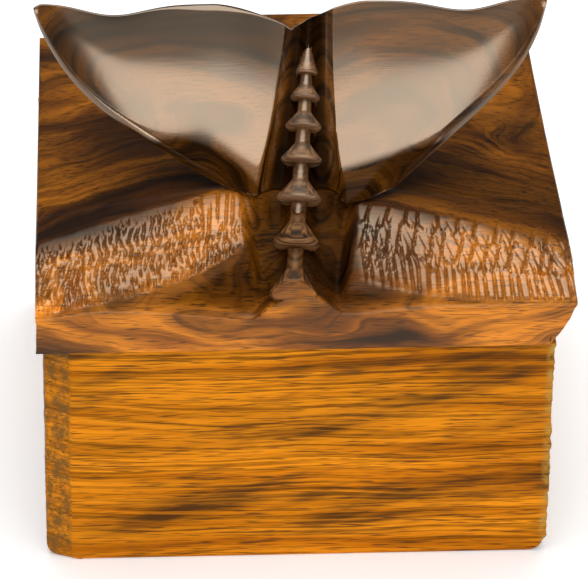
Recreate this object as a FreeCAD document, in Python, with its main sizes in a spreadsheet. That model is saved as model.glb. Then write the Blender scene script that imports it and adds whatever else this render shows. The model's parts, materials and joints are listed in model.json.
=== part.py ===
import FreeCAD, Part
import math
import os
import re
import Sketcher
from FreeCAD import Vector

# A carved hardwood puzzle box. A live-edge block holds the compartment, a thick lid is carved as
# waves, and the whale tail that rises out of the waves turns on a hidden spindle. The spindle turns a
# cam in the lid, which drives two bolts into the block, and a loose pin drops into the cam to lock it.
# Millimetres, Z up. The origin is on the table under the middle of the block, and the front faces -Y.
# The model stands closed and unlocked: bolts drawn, loose pin out of the cam.

DIMENSIONS = {
    # Block
    "base_width": 143,
    "base_depth": 121.4,
    "base_height": 75,
    "side_wall": 11.5,
    "front_wall": 12.2,
    "compartment_corner": 10,
    "foot_round_left": 4,
    "foot_round_right": 7,
    "bark_width": 7,
    "bark_set_in": 2.5,
    # Board that closes the block from below, and the felt on it
    "floor_thickness": 8,
    "floor_ledge": 6.5,
    "floor_gap": 0.1,
    "felt_thickness": 1.5,
    "felt_gap": 0.5,
    # Lid: its plan, its front edge and the waves carved above that edge
    "lid_front_width": 150,
    "lid_back_width": 141.6,
    "lid_shift": 1.5,
    "lid_back_shift": 0.2,
    "lid_overhang": 0.3,
    "saw_margin": 2,
    "lid_front_height": 14.5,
    "live_edge_bow": 0.3,
    "waney_width": 7,
    "wave_height": 18.5,
    "left_end_height": 8,
    "right_end_height": 6,
    "left_crest_setback": 31,
    "right_crest_setback": 23,
    "left_end_setback": 18,
    "right_end_setback": 21,
    "left_lip_setback": 11,
    "right_lip_setback": 4.8,
    "left_lip_height": 13.5,
    "right_lip_height": 6.5,
    "left_scoop": 4,
    "right_scoop": 2.5,
    "sea_rise": 6,
    "back_swell": 8,
    "furrow_width": 33,
    "furrow_floor_width": 20,
    "furrow_depth": 3.5,
    "furrow_length": 33,
    # Tail stock, cut through by the seam at the height of the wave crests
    "seam_setback": 23,
    "seam_gap": 0.4,
    "stock_width": 31,
    "stock_depth": 26,
    "stock_foot_width": 18,
    "stock_top_width": 17,
    "stock_top_depth": 8,
    "stock_top_rise": 24,
    # Flukes, drawn on the slope of the tail
    "tail_slope": 37,
    "tail_span": 143.4,
    "tail_shift": -0.8,
    "tail_chord": 59,
    "left_root_overlap": 4.5,
    "right_root_overlap": 18.3,
    "notch_depth": 8.1,
    "lobe_dip": 3.4,
    "tip_width": 4,
    "tip_fall": 1.6,
    "edge_thickness": 3,
    "dish_depth": 3.4,
    "root_thickness": 10,
    "tip_curl": 6.2,
    # Two channels down the back of the tail, either side of the knuckles
    "channel_spacing": 12.6,
    "channel_radius": 5.2,
    "channel_depth": 4,
    "channel_flare": 2,
    "channel_rise": 5.2,
    "channel_fall": 6.2,
    # Knuckles along the back of the tail
    "bead_start": 2.1,
    "bead_pitch": 11.1,
    "bead_taper": 0.87,
    "bead_radius": 6.6,
    "bead_fade": 8.2,
    "neck_radius": 2.3,
    "ridge_height": 0.8,
    "ridge_lean": 5,
    # Spindle and thrust washer
    "spindle_diameter": 10,
    "spindle_running_gap": 0.08,
    "spindle_setback": 18,
    "spindle_reach": 6,
    "tenon_size": 7,
    "glue_gap": 0.02,
    "thrust_washer_diameter": 18,
    "thrust_washer_thickness": 1,
    "thrust_washer_gap": 0.3,
    # Cam
    "cam_diameter": 46,
    "cam_thickness": 8,
    "cam_gap": 0.5,
    "cam_lift": 0.2,
    "cam_turn": 60,
    "cam_recess": 3.2,
    "cam_washer_diameter": 13,
    "cam_washer_thickness": 0.8,
    "cam_screw_diameter": 4,
    "cam_screw_length": 12,
    "cam_head_diameter": 7,
    "cam_head_height": 2.2,
    # Bolts, their pins and the tray that carries them
    "bolt_width": 14,
    "bolt_thickness": 6,
    "bolt_throw": 7,
    "bolt_gap": 0.25,
    "bolt_end_gap": 2,
    "bolt_bite": 4.5,
    "bolt_chamfer": 2,
    "bolt_pin_radius": 11,
    "bolt_pin_diameter": 4,
    "bolt_pin_seat": 4,
    "bolt_pin_rise": 7,
    "slot_gap": 0.25,
    "tray_thickness": 11,
    "tray_gap": 0.4,
    # Loose pin that locks the cam when the box is tilted
    "tilt_pin_diameter": 6,
    "tilt_pin_length": 22,
    "tilt_pin_travel": 5,
    "tilt_pin_gap": 0.3,
    # Brass wood screws
    "screw_diameter": 2.8,
    "screw_head_diameter": 5.5,
    "screw_head_height": 1.4,
    "screw_bite": 7,
    "screw_slot": 0.8,
    "screw_inset": 10,
}

# Heights and places that several pieces share, as formulas of the dimensions.
LID_EDGE = "(base_height + lid_front_height)"
SEAM = "(base_height + lid_front_height + wave_height)"
FRONT = "(-base_depth / 2 - lid_overhang)"
BACK = "(base_depth / 2 + lid_overhang)"
SEAM_FRONT = f"({FRONT} + seam_setback)"
SPINDLE_Y = f"({SEAM_FRONT} + spindle_setback)"
INSIDE_X = "(base_width / 2 - side_wall)"
INSIDE_Y = "(base_depth / 2 - front_wall)"
CAM_BOTTOM = "(base_height + cam_lift)"
CAM_TOP = "(base_height + cam_lift + cam_thickness)"
BOLT_TOP = "(base_height - bolt_gap)"
TILT_PIN_Y = f"({SPINDLE_Y} + cam_diameter / 2 + cam_gap + tilt_pin_gap)"
TILT_PIN_Z = "(base_height + cam_lift + tilt_pin_diameter / 2)"

# The middle of a quarter arc lies this share of its radius inside the corner.
CORNER_SHARE = 0.29289
# Loose tools such as trimming cuts reach this far past what they trim.
PAST = "base_depth"

BEADS_BELOW_SEAM = 2
BEADS_ABOVE_SEAM = 4

document = FreeCAD.newDocument("PuzzleBox")
sizes = document.addObject("Spreadsheet::Sheet", "Sizes")
for row, (alias, size) in enumerate(DIMENSIONS.items(), start=1):
    sizes.set(f"A{row}", alias)
    sizes.set(f"B{row}", str(size))
    sizes.setAlias(f"B{row}", alias)
document.recompute()

ALIASES = re.compile(r"\b(" + "|".join(DIMENSIONS) + r")\b")


def bound(formula):
    """The formula with each dimension read from the sheet."""
    return ALIASES.sub(r"Sizes.\1", str(formula))


def value(formula):
    return float(sizes.evalExpression(bound(formula)))


def new_body(label):
    body = document.addObject("PartDesign::Body", label)
    body.Label = label
    return body


def new_sketch(body, plane, place=(0, 0, 0), turn=None, about=Vector(0, 0, 1)):
    """A sketch on one of the body's origin planes, moved by formulas and turned about a local axis."""
    sketch = body.newObject("Sketcher::SketchObject", plane + "Sketch")
    support = next(item for item in body.Origin.OriginFeatures if item.Role == plane + "_Plane")
    sketch.AttachmentSupport = [(support, "")]
    sketch.MapMode = "FlatFace"
    if turn:
        offset = FreeCAD.Placement(Vector(), FreeCAD.Rotation(about, value(turn)))
        sketch.AttachmentOffset = offset
        sketch.setExpression("AttachmentOffset.Rotation.Angle", bound(turn))
    for axis, formula in zip("xyz", place):
        sketch.setExpression(f"AttachmentOffset.Base.{axis}", bound(formula))
    return sketch


def constrain(sketch, kind, *arguments, formula=None):
    if formula is None:
        sketch.addConstraint(Sketcher.Constraint(kind, *arguments))
        return
    index = sketch.addConstraint(Sketcher.Constraint(kind, *arguments, value(formula)))
    sketch.setExpression(f"Constraints[{index}]", bound(formula))


def pin_down(sketch, geometry, end, corner):
    """Binds a point of the sketch to its two formulas."""
    constrain(sketch, "DistanceX", -1, 1, geometry, end, formula=corner[0])
    constrain(sketch, "DistanceY", -1, 1, geometry, end, formula=corner[1])


def at(corner):
    return Vector(value(corner[0]), value(corner[1]), 0)


def draw(sketch, corners):
    """A closed outline. A corner is (x, y), or (x, y, via) where an arc through via leaves it."""
    ends = []
    for here, there in zip(corners, corners[1:] + corners[:1]):
        if len(here) == 2:
            edge = sketch.addGeometry(Part.LineSegment(at(here), at(there)))
            ends.append((edge, 1, 2))
            continue
        edge = sketch.addGeometry(Part.Arc(at(here), at(here[2]), at(there)))
        forward = sketch.getPoint(edge, 1).distanceToPoint(at(here)) < 1e-6
        ends.append((edge, 1, 2) if forward else (edge, 2, 1))
    for index, corner in enumerate(corners):
        edge, start, _ = ends[index]
        before, _, end = ends[index - 1]
        constrain(sketch, "Coincident", before, end, edge, start)
        pin_down(sketch, edge, start, corner)
        if len(corner) == 3:
            via = sketch.addGeometry(Part.Point(at(corner[2])), True)
            pin_down(sketch, via, 1, corner[2])
            constrain(sketch, "PointOnObject", via, 1, edge)


def draw_circle(sketch, x, y, radius):
    circle = sketch.addGeometry(Part.Circle(at((x, y)), Vector(0, 0, 1), value(radius)))
    pin_down(sketch, circle, 3, (x, y))
    constrain(sketch, "Radius", circle, formula=radius)


def draw_box(sketch, left, low, right, high):
    draw(sketch, [(left, low), (right, low), (right, high), (left, high)])


def draw_rounded(sketch, half_x, half_y, radius):
    """A rectangle about the sketch's origin with rounded corners."""
    corners = []
    for sign_x, sign_y in ((1, -1), (1, 1), (-1, 1), (-1, -1)):
        along = (f"{sign_x}*({half_x} - ({radius}))", f"{sign_y}*({half_y})")
        across = (f"{sign_x}*({half_x})", f"{sign_y}*({half_y} - ({radius}))")
        via = tuple(
            f"{sign}*({half} - ({radius})*{CORNER_SHARE})"
            for sign, half in ((sign_x, half_x), (sign_y, half_y))
        )
        first, last = (along, across) if sign_x * sign_y < 0 else (across, along)
        corners += [first + (via,), last]
    draw(sketch, corners)


def draw_oval(sketch, centre_y, half_x, half_y):
    """An ellipse-like outline of four arcs, centred on X = 0."""
    share = 0.7071
    corners = []
    for x, y, via_x, via_y in ((0, -1, 1, -1), (1, 0, 1, 1), (0, 1, -1, 1), (-1, 0, -1, -1)):
        via = (f"{via_x * share}*({half_x})", f"{centre_y} + {via_y * share}*({half_y})")
        corners.append((f"{x}*({half_x})", f"{centre_y} + {y}*({half_y})", via))
    draw(sketch, corners)


def volume(body):
    document.recompute()
    return body.Shape.Volume if body.Tip else 0


def add(body, kind, sketch, **bindings):
    feature = body.newObject("PartDesign::" + kind, kind)
    feature.Profile = sketch
    for name, formula in bindings.items():
        feature.setExpression(name, bound(formula))
    return feature


def pad(body, sketch, length, reverse=False, both_ways=False):
    feature = add(body, "Pad", sketch, Length=length)
    feature.Reversed = reverse
    feature.Midplane = both_ways
    return feature


def cut(body, sketch, length, reverse=False, both_ways=False):
    """A pocket against the sketch's normal, or along it in reverse, that has to remove something."""
    before = volume(body)
    feature = add(body, "Pocket", sketch, Length=length)
    feature.Reversed = reverse
    feature.Midplane = both_ways
    if volume(body) > before - 1e-6:
        raise RuntimeError(f"a cut in {body.Label} removes nothing")
    return feature


def loft(body, sketches, ruled=False):
    feature = add(body, "AdditiveLoft", sketches[0])
    feature.Sections = sketches[1:]
    feature.Ruled = ruled
    return feature


def corner_places(inset):
    """Where screws stand in the four corners, on the diagonal of the compartment's rounded corner."""
    reach = f"(({inset}) * 0.7071)"
    x = f"({INSIDE_X} - compartment_corner + {reach})"
    y = f"({INSIDE_Y} - compartment_corner + {reach})"
    return [(f"{i}*{x}", f"{j}*{y}") for i in (1, -1) for j in (1, -1)]


FLOOR_SCREWS = corner_places("compartment_corner + floor_ledge / 2")
TRAY_SCREWS = corner_places("compartment_corner - screw_inset")


# A countersunk head narrows to the shank over its height.
HEAD_TAPER = "-atan((screw_head_diameter - screw_diameter) / 2 / screw_head_height)"


def draw_circles(sketch, places, radius):
    for x, y in places:
        draw_circle(sketch, x, y, radius)


def cut_screw_holes(body, places, bottom, length):
    """Clearance holes up through a board, countersunk from below for the heads."""
    sketch = new_sketch(body, "XY", (0, 0, bottom))
    draw_circles(sketch, places, "screw_diameter / 2 + glue_gap")
    cut(body, sketch, length, reverse=True)
    sketch = new_sketch(body, "XY", (0, 0, bottom))
    draw_circles(sketch, places, "screw_head_diameter / 2 + glue_gap")
    sink = cut(body, sketch, "screw_head_height", reverse=True)
    sink.setExpression("TaperAngle", bound(HEAD_TAPER))


def cut_pilot_holes(body, places, bottom):
    sketch = new_sketch(body, "XY", (0, 0, bottom))
    draw_circles(sketch, places, "screw_diameter / 2 + glue_gap")
    cut(body, sketch, "screw_bite + glue_gap", reverse=True)


def make_screws(label, places, bottom, board):
    """Slotted countersunk screws in the underside of a board, as separate solids."""
    body = new_body(label)
    body.AllowCompound = True
    sketch = new_sketch(body, "XY", (0, 0, bottom))
    draw_circles(sketch, places, "screw_head_diameter / 2")
    head = pad(body, sketch, "screw_head_height")
    head.setExpression("TaperAngle", bound(HEAD_TAPER))
    sketch = new_sketch(body, "XY", (0, 0, f"{bottom} + screw_head_height"))
    draw_circles(sketch, places, "screw_diameter / 2")
    pad(body, sketch, f"{board} + screw_bite - screw_head_height")
    sketch = new_sketch(body, "XY", (0, 0, bottom))
    for x, y in places:
        draw_box(
            sketch,
            f"{x} - screw_head_diameter",
            f"{y} - screw_slot / 2",
            f"{x} + screw_head_diameter",
            f"{y} + screw_slot / 2",
        )
    cut(body, sketch, "screw_head_height / 2", reverse=True)
    return body


def make_base_block():
    """The block: rounded live edges underneath, a bark face on the front left corner, and the hollow."""
    body = new_body("base_block")
    left, right = "(-base_width / 2)", "(base_width / 2)"
    sketch = new_sketch(body, "XZ")
    draw(
        sketch,
        [
            (left, "base_height"),
            (
                left,
                "foot_round_left",
                (f"{left} + foot_round_left*{CORNER_SHARE}", f"foot_round_left*{CORNER_SHARE}"),
            ),
            (f"{left} + foot_round_left", "0"),
            (
                f"{right} - foot_round_right",
                "0",
                (f"{right} - foot_round_right*{CORNER_SHARE}", f"foot_round_right*{CORNER_SHARE}"),
            ),
            (right, "foot_round_right"),
            (right, "base_height"),
        ],
    )
    pad(body, sketch, "base_depth", both_ways=True)
    sketch = new_sketch(body, "XY")
    draw(
        sketch,
        [
            (f"{left} - bark_width", "-base_depth / 2 - bark_set_in"),
            (f"{left} + bark_width", "-base_depth / 2 - bark_set_in"),
            (f"{left} + bark_width", "-base_depth / 2"),
            (left, "-base_depth / 2 + bark_set_in"),
            (f"{left} - bark_width", "-base_depth / 2 + bark_set_in"),
        ],
    )
    cut(body, sketch, "base_height", reverse=True)
    sketch = new_sketch(body, "XY")
    draw_rounded(sketch, INSIDE_X, INSIDE_Y, "compartment_corner")
    cut(body, sketch, "base_height", reverse=True)
    sketch = new_sketch(body, "XY")
    draw_rounded(
        sketch,
        f"({INSIDE_X} + floor_ledge)",
        f"({INSIDE_Y} + floor_ledge)",
        "compartment_corner + floor_ledge",
    )
    cut(body, sketch, "floor_thickness", reverse=True)
    for side in (1, -1):
        sketch = new_sketch(body, "YZ", (0, 0, f"{side}*({INSIDE_X} - tray_gap)"))
        draw_box(
            sketch,
            f"{SPINDLE_Y} - bolt_width / 2 - bolt_gap",
            f"{BOLT_TOP} - bolt_thickness - bolt_gap",
            f"{SPINDLE_Y} + bolt_width / 2 + bolt_gap",
            f"{BOLT_TOP} + bolt_gap / 2",
        )
        cut(body, sketch, "tray_gap + bolt_bite + bolt_end_gap", reverse=side > 0)
    cut_pilot_holes(body, FLOOR_SCREWS, "floor_thickness")
    return body


def make_base_floor():
    body = new_body("base_floor")
    sketch = new_sketch(body, "XY")
    draw_rounded(
        sketch,
        f"({INSIDE_X} + floor_ledge - floor_gap)",
        f"({INSIDE_Y} + floor_ledge - floor_gap)",
        "compartment_corner + floor_ledge - floor_gap",
    )
    pad(body, sketch, "floor_thickness")
    cut_screw_holes(body, FLOOR_SCREWS, "0", "floor_thickness")
    return body


def make_felt_liner():
    body = new_body("felt_liner")
    sketch = new_sketch(body, "XY", (0, 0, "floor_thickness"))
    draw_rounded(
        sketch,
        f"({INSIDE_X} - felt_gap)",
        f"({INSIDE_Y} - felt_gap)",
        "compartment_corner - felt_gap",
    )
    pad(body, sketch, "felt_thickness")
    return body


WAVE_STATIONS = (0, 0.25, 0.5, 0.75, 1)


def wave_section(body, side, x, reach):
    """One slice through the sea: front edge, scooped face, lip, foam, crest and the long back.

    The reach goes from 0 beside the tail stock to 1 at the lid's end. The slice is larger than the lid by
    the margin that the saw takes off afterwards.
    """
    fall = reach**1.3
    lip = 0.06 + 0.94 * (1 - reach) ** 1.3
    lip_y = f"({FRONT} + {side}_lip_setback*{lip:.3f})"
    lip_z = f"({LID_EDGE} + {side}_lip_height*{lip:.3f})"
    crest_y = f"({FRONT} + {side}_crest_setback*{1 - fall:.3f} + {side}_end_setback*{fall:.3f})"
    crest_z = f"({LID_EDGE} + wave_height*{1 - fall:.3f} + {side}_end_height*{fall:.3f})"
    edge_z = f"({LID_EDGE} - {side}_scoop*{(1 - reach) ** 3:.3f})"
    back_z = f"({LID_EDGE} + sea_rise + back_swell*{1 - reach:.3f})"
    face_via = (f"({FRONT}*0.45 + {lip_y}*0.55)", f"({edge_z}*0.6 + {lip_z}*0.4)")
    foam_via = (f"({lip_y}*0.5 + {crest_y}*0.5)", f"({lip_z}*0.4 + {crest_z}*0.6)")
    back_via = (f"({crest_y}*0.55 + {BACK}*0.45)", f"({crest_z}*0.3 + {back_z}*0.7 - sea_rise / 4)")
    sketch = new_sketch(body, "YZ", (0, 0, x))
    draw(
        sketch,
        [
            (f"{FRONT} - saw_margin", "base_height - saw_margin"),
            (f"{FRONT} - saw_margin", edge_z),
            (FRONT, edge_z, face_via),
            (lip_y, lip_z, foam_via),
            (crest_y, crest_z, back_via),
            (f"{BACK} + saw_margin", back_z),
            (f"{BACK} + saw_margin", "base_height - saw_margin"),
        ],
    )
    return sketch


def add_sea(body):
    """The carved sea: waves that are highest beside the tail stock and fall towards the lid's ends."""
    inner = "(stock_width / 2)"
    outer = "(lid_front_width / 2 + lid_shift + live_edge_bow)"
    slices = [("left", "-", reach) for reach in WAVE_STATIONS[::-1]]
    slices += [("right", "", reach) for reach in WAVE_STATIONS]
    sketches = []
    for side, sign, reach in slices:
        x = f"{sign}({inner}*{1 - reach} + {outer}*{reach})"
        sketches.append(wave_section(body, side, x, reach))
    loft(body, sketches, ruled=True)


def cut_furrow(body):
    """The sloping furrow in front of the tail stock, wider at the top and closed at the back."""
    sketches = []
    for setback, floor in (("0", "-furrow_depth"), ("furrow_length", "furrow_depth")):
        sketch = new_sketch(body, "XZ", (0, 0, f"-({FRONT} + {setback})"))
        floor_z = f"({LID_EDGE} + {floor})"
        draw(
            sketch,
            [
                ("-furrow_floor_width / 2", floor_z),
                ("furrow_floor_width / 2", floor_z),
                ("furrow_width / 2", f"{SEAM} + furrow_depth"),
                ("-furrow_width / 2", f"{SEAM} + furrow_depth"),
            ],
        )
        sketches.append(sketch)
    before = volume(body)
    feature = add(body, "SubtractiveLoft", sketches[0])
    feature.Sections = sketches[1:]
    if volume(body) > before - 1e-6:
        raise RuntimeError("the furrow removes nothing")


def add_stock(body):
    """The tail stock: leaning oval slices from under the seam to the middle of the flukes."""
    lean = "tan(tail_slope)"
    slices = (
        ("-(wave_height + lid_front_height / 2)", "stock_foot_width / 2", "stock_depth / 2"),
        ("0", "stock_width / 2", "stock_depth / 2"),
        ("stock_top_rise", "stock_top_width / 2", "stock_top_depth / 2"),
    )
    sketches = []
    for rise, half_x, half_y in slices:
        sketch = new_sketch(body, "XY", (0, 0, f"{SEAM} + {rise}"))
        draw_oval(sketch, f"({SEAM_FRONT} + ({rise}) / {lean} + {half_y})", half_x, half_y)
        sketches.append(sketch)
    loft(body, sketches)


def cut_channels(body, slope):
    """Two round-bottomed channels with a ridge between them, deepest at the seam. Their slope differs from
    the tail's, so that they run out at the flukes' notch above and at the stock's foot below."""
    deep_y = f"({SEAM_FRONT} + channel_depth / sin(tail_slope))"
    sketch = new_sketch(body, "XZ", ("0", SEAM, f"-{deep_y}"), turn=slope, about=Vector(1, 0, 0))
    high = "4*channel_radius"
    for side in (1, -1):
        inner = f"{side}*(channel_spacing / 2 - channel_radius)"
        outer = f"{side}*(channel_spacing / 2 + channel_radius)"
        draw(
            sketch,
            [
                (inner, "channel_radius", (f"{side}*channel_spacing / 2", "0")),
                (outer, "channel_radius"),
                (f"{outer} + {side}*channel_flare", high),
                (inner, high),
            ],
        )
    cut(body, sketch, PAST, both_ways=True)


def leaning(along, radius):
    """A point of the knuckles' profile, with the ridge leaning a little to the right as it climbs."""
    return (
        f"({along})*sin(ridge_lean) + ({radius})*cos(ridge_lean)",
        f"({along})*cos(ridge_lean) - ({radius})*sin(ridge_lean)",
    )


def bead_place(step):
    """How far up the slope from the seam a bead's widest line lies. Bead 0 is the one on the seam."""
    return f"(bead_start + bead_pitch * (1 - bead_taper ^ {step}) / (1 - bead_taper))"


def add_beads(body):
    """The knuckles: one turned profile on the slope, each bead smaller and closer than the one below."""
    low = f"({bead_place(-BEADS_BELOW_SEAM)} - 0.8*bead_pitch)"
    corners = [leaning(low, "0"), leaning(low, "neck_radius")]
    for step in range(-BEADS_BELOW_SEAM, BEADS_ABOVE_SEAM + 1):
        place = bead_place(step)
        pitch = f"(bead_pitch * bead_taper ^ {step})"
        fade = f"(1 - ({step + BEADS_BELOW_SEAM} / bead_fade) ^ 2)"
        wide = f"(bead_radius * {fade})"
        neck = f"(neck_radius * {fade} ^ 0.5)"
        corners += [
            leaning(f"{place} - 0.3*{pitch}", neck),
            leaning(f"{place} - 0.08*{pitch}", wide),
            leaning(f"{place} + 0.5*{pitch}", neck),
        ]
    corners.append(leaning(f"{place} + 0.5*{pitch}", "0"))
    foot = ("0", f"{SEAM_FRONT} - ridge_height*sin(tail_slope)", f"{SEAM} + ridge_height*cos(tail_slope)")
    sketch = new_sketch(body, "XY", foot, turn="tail_slope", about=Vector(1, 0, 0))
    draw(sketch, corners)
    axis = sketch.addGeometry(Part.LineSegment(at(corners[0]), at(corners[-1])), True)
    pin_down(sketch, axis, 1, corners[0])
    pin_down(sketch, axis, 2, corners[-1])
    feature = add(body, "Revolution", sketch)
    feature.ReferenceAxis = (sketch, ["Axis0"])
    feature.Angle = 360


def trim_above(body, height):
    sketch = new_sketch(body, "XY", (0, 0, height))
    draw_box(sketch, f"-{PAST}", f"-{PAST}", PAST, PAST)
    cut(body, sketch, PAST, reverse=True)


def trim_below(body, height):
    sketch = new_sketch(body, "XY", (0, 0, height))
    draw_box(sketch, f"-{PAST}", f"-{PAST}", PAST, PAST)
    cut(body, sketch, PAST)


def trim_lid_outline(body):
    """Cuts the carved block to its plan: sawn front and back, bowed live edges at the sides."""
    left_front, right_front = (f"(lid_shift + {side}*lid_front_width / 2)" for side in (-1, 1))
    left_back, right_back = (f"(lid_back_shift + {side}*lid_back_width / 2)" for side in (-1, 1))
    sketch = new_sketch(body, "XY", (0, 0, "base_height"))
    draw_box(sketch, f"-{PAST}", f"-{PAST}", PAST, PAST)
    draw(
        sketch,
        [
            (left_front, FRONT),
            (right_front, FRONT, (f"({right_front} + {right_back}) / 2 + live_edge_bow", "0")),
            (right_back, BACK),
            (left_back, BACK, (f"({left_front} + {left_back}) / 2 - live_edge_bow", "0")),
        ],
    )
    cut(body, sketch, PAST, reverse=True)
    edge = f"({right_front} + live_edge_bow)"
    low_x = f"({right_front} - waney_width)"
    sketch = new_sketch(body, "XZ")
    draw(
        sketch,
        [
            (low_x, "base_height - lid_front_height"),
            (f"{edge} + waney_width", "base_height - lid_front_height"),
            (f"{edge} + waney_width", LID_EDGE),
            (edge, LID_EDGE, (f"{edge} - 0.35*waney_width", "base_height + 0.5*lid_front_height")),
            (low_x, "base_height"),
        ],
    )
    cut(body, sketch, "2*base_depth", both_ways=True)


def make_lid_block():
    """The lid: two waves and a furrow, the lower part of the tail stock, and the works underneath."""
    body = new_body("lid_block")
    add_sea(body)
    cut_furrow(body)
    add_stock(body)
    cut_channels(body, "tail_slope - channel_fall")
    add_beads(body)
    trim_above(body, SEAM)
    trim_below(body, "base_height")
    trim_lid_outline(body)
    sketch = new_sketch(body, "XY", (0, 0, "base_height"))
    draw_circle(sketch, "0", SPINDLE_Y, "cam_diameter / 2 + cam_gap")
    cut(body, sketch, "cam_lift + cam_thickness + cam_gap", reverse=True)
    sketch = new_sketch(body, "XY", (0, 0, "base_height"))
    draw_box(
        sketch,
        "-tilt_pin_diameter / 2 - tilt_pin_gap",
        SPINDLE_Y,
        "tilt_pin_diameter / 2 + tilt_pin_gap",
        f"{TILT_PIN_Y} + tilt_pin_length + tilt_pin_gap",
    )
    cut(body, sketch, "cam_lift + tilt_pin_diameter + tilt_pin_gap", reverse=True)
    sketch = new_sketch(body, "XY", (0, 0, "base_height"))
    draw_circle(sketch, "0", SPINDLE_Y, "spindle_diameter / 2 + spindle_running_gap")
    cut(body, sketch, "lid_front_height + wave_height", reverse=True)
    sketch = new_sketch(body, "XY", (0, 0, SEAM))
    draw_circle(sketch, "0", SPINDLE_Y, "thrust_washer_diameter / 2 + thrust_washer_gap")
    cut(body, sketch, "thrust_washer_thickness - seam_gap / 2")
    cut_pilot_holes(body, TRAY_SCREWS, "base_height")
    return body


def make_bolt_tray():
    """The board under the lid: it centres the lid in the block and carries the bolts in a channel."""
    body = new_body("bolt_tray")
    bottom = "(base_height - tray_thickness)"
    sketch = new_sketch(body, "XY", (0, 0, bottom))
    draw_rounded(
        sketch,
        f"({INSIDE_X} - tray_gap)",
        f"({INSIDE_Y} - tray_gap)",
        "compartment_corner - tray_gap",
    )
    pad(body, sketch, "tray_thickness")
    sketch = new_sketch(body, "YZ")
    draw_box(
        sketch,
        f"{SPINDLE_Y} - bolt_width / 2 - bolt_gap",
        f"{BOLT_TOP} - bolt_thickness - bolt_gap",
        f"{SPINDLE_Y} + bolt_width / 2 + bolt_gap",
        "base_height + bolt_gap",
    )
    cut(body, sketch, "2*base_width", both_ways=True)
    cut_screw_holes(body, TRAY_SCREWS, bottom, "tray_thickness")
    return body


HALF_STATIONS = (0.08, 0.17, 0.28, 0.41, 0.55, 0.69, 0.82, 0.92, 1)
FLUKE_STATIONS = [-share for share in HALF_STATIONS[::-1]] + [0, *HALF_STATIONS]


def leading_edge(share):
    """How far up the slope the leading edge is: nearly straight, then hooked towards the tip.

    The carver let the right fluke's edge run further down past the seam than the left one's.
    """
    far = abs(share)
    left = ("left_root_overlap", 0.71 * far + 0.29 * far**8)
    right = ("right_root_overlap", 0.84 * far + 0.16 * far**14)
    middle = ("(left_root_overlap + right_root_overlap) / 2", 0)
    overlap, climb = middle if share == 0 else left if share < 0 else right
    return f"((tail_chord - tip_width + {overlap})*{climb:.4f} - {overlap})"


def fluke_section(body, share):
    """A slice of a fluke at a share of the half span: thin rims, a dished top and a rounded underside."""
    far = abs(share)
    front = leading_edge(share)
    notch = max(0, 1 - far / 0.3) ** 1.6
    dip = math.exp(-(((far - 0.69) / 0.17) ** 2))
    back = f"(tail_chord - notch_depth*{notch:.4f} - lobe_dip*{dip:.4f} - tip_fall*{far**12:.4f})"
    rim = f"(tip_curl*{far**2:.4f})"
    dish = f"(dish_depth*{0.06 + 3.76 * far * (1 - far):.4f})"
    body_depth = f"(edge_thickness + root_thickness*{(1 - far) ** 1.3:.4f})"
    middle = f"(({front} + {back}) / 2)"
    top = f"({rim} + edge_thickness / 2)"
    under = f"({rim} - edge_thickness / 2)"
    sketch = new_sketch(
        body, "YZ", (SEAM_FRONT, SEAM, f"tail_shift + {share}*tail_span / 2"), turn="tail_slope"
    )
    draw(
        sketch,
        [
            (front, top, (middle, f"{top} - {dish}")),
            (back, top),
            (back, under, (middle, f"{top} - {dish} - {body_depth}")),
            (front, under),
        ],
    )
    return sketch


def make_whale_tail():
    """The turning tail: two flukes on the upper stock, with the knuckles down its back."""
    body = new_body("whale_tail")
    loft(body, [fluke_section(body, share) for share in FLUKE_STATIONS], ruled=True)
    document.recompute()
    add_stock(body)
    cut_channels(body, "tail_slope + channel_rise")
    add_beads(body)
    trim_below(body, f"{SEAM} + seam_gap")
    sketch = new_sketch(body, "XY", (0, 0, f"{SEAM} + seam_gap"))
    draw_circle(sketch, "0", SPINDLE_Y, "spindle_diameter / 2 + glue_gap")
    cut(body, sketch, "spindle_reach + glue_gap", reverse=True)
    return body


SCREW_SEAT = f"({CAM_BOTTOM} + cam_recess - cam_washer_thickness)"


def make_tail_spindle():
    """A round shaft glued in the tail, with a square tenon for the cam and a hole for its screw."""
    body = new_body("tail_spindle")
    sketch = new_sketch(body, "XY", (0, 0, CAM_TOP))
    draw_circle(sketch, "0", SPINDLE_Y, "spindle_diameter / 2")
    pad(body, sketch, f"{SEAM} + seam_gap + spindle_reach - {CAM_TOP}")
    half = "(tenon_size / 2)"
    sketch = new_sketch(body, "XY", (0, 0, f"{CAM_BOTTOM} + cam_recess"))
    draw_box(sketch, f"-{half}", f"{SPINDLE_Y} - {half}", half, f"{SPINDLE_Y} + {half}")
    pad(body, sketch, "cam_thickness - cam_recess")
    sketch = new_sketch(body, "XY", (0, 0, f"{CAM_BOTTOM} + cam_recess"))
    draw_circle(sketch, "0", SPINDLE_Y, "cam_screw_diameter / 2 + glue_gap")
    cut(body, sketch, "cam_screw_length", reverse=True)
    return body


def make_ring(label, bottom, thickness, outer, inner):
    body = new_body(label)
    sketch = new_sketch(body, "XY", (0, 0, bottom))
    draw_circle(sketch, "0", SPINDLE_Y, outer)
    draw_circle(sketch, "0", SPINDLE_Y, inner)
    pad(body, sketch, thickness)
    return body


def polar(radius, angle):
    """A point about the spindle, for sketches seen from above."""
    return (f"({radius})*cos({angle})", f"{SPINDLE_Y} + ({radius})*sin({angle})")


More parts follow.
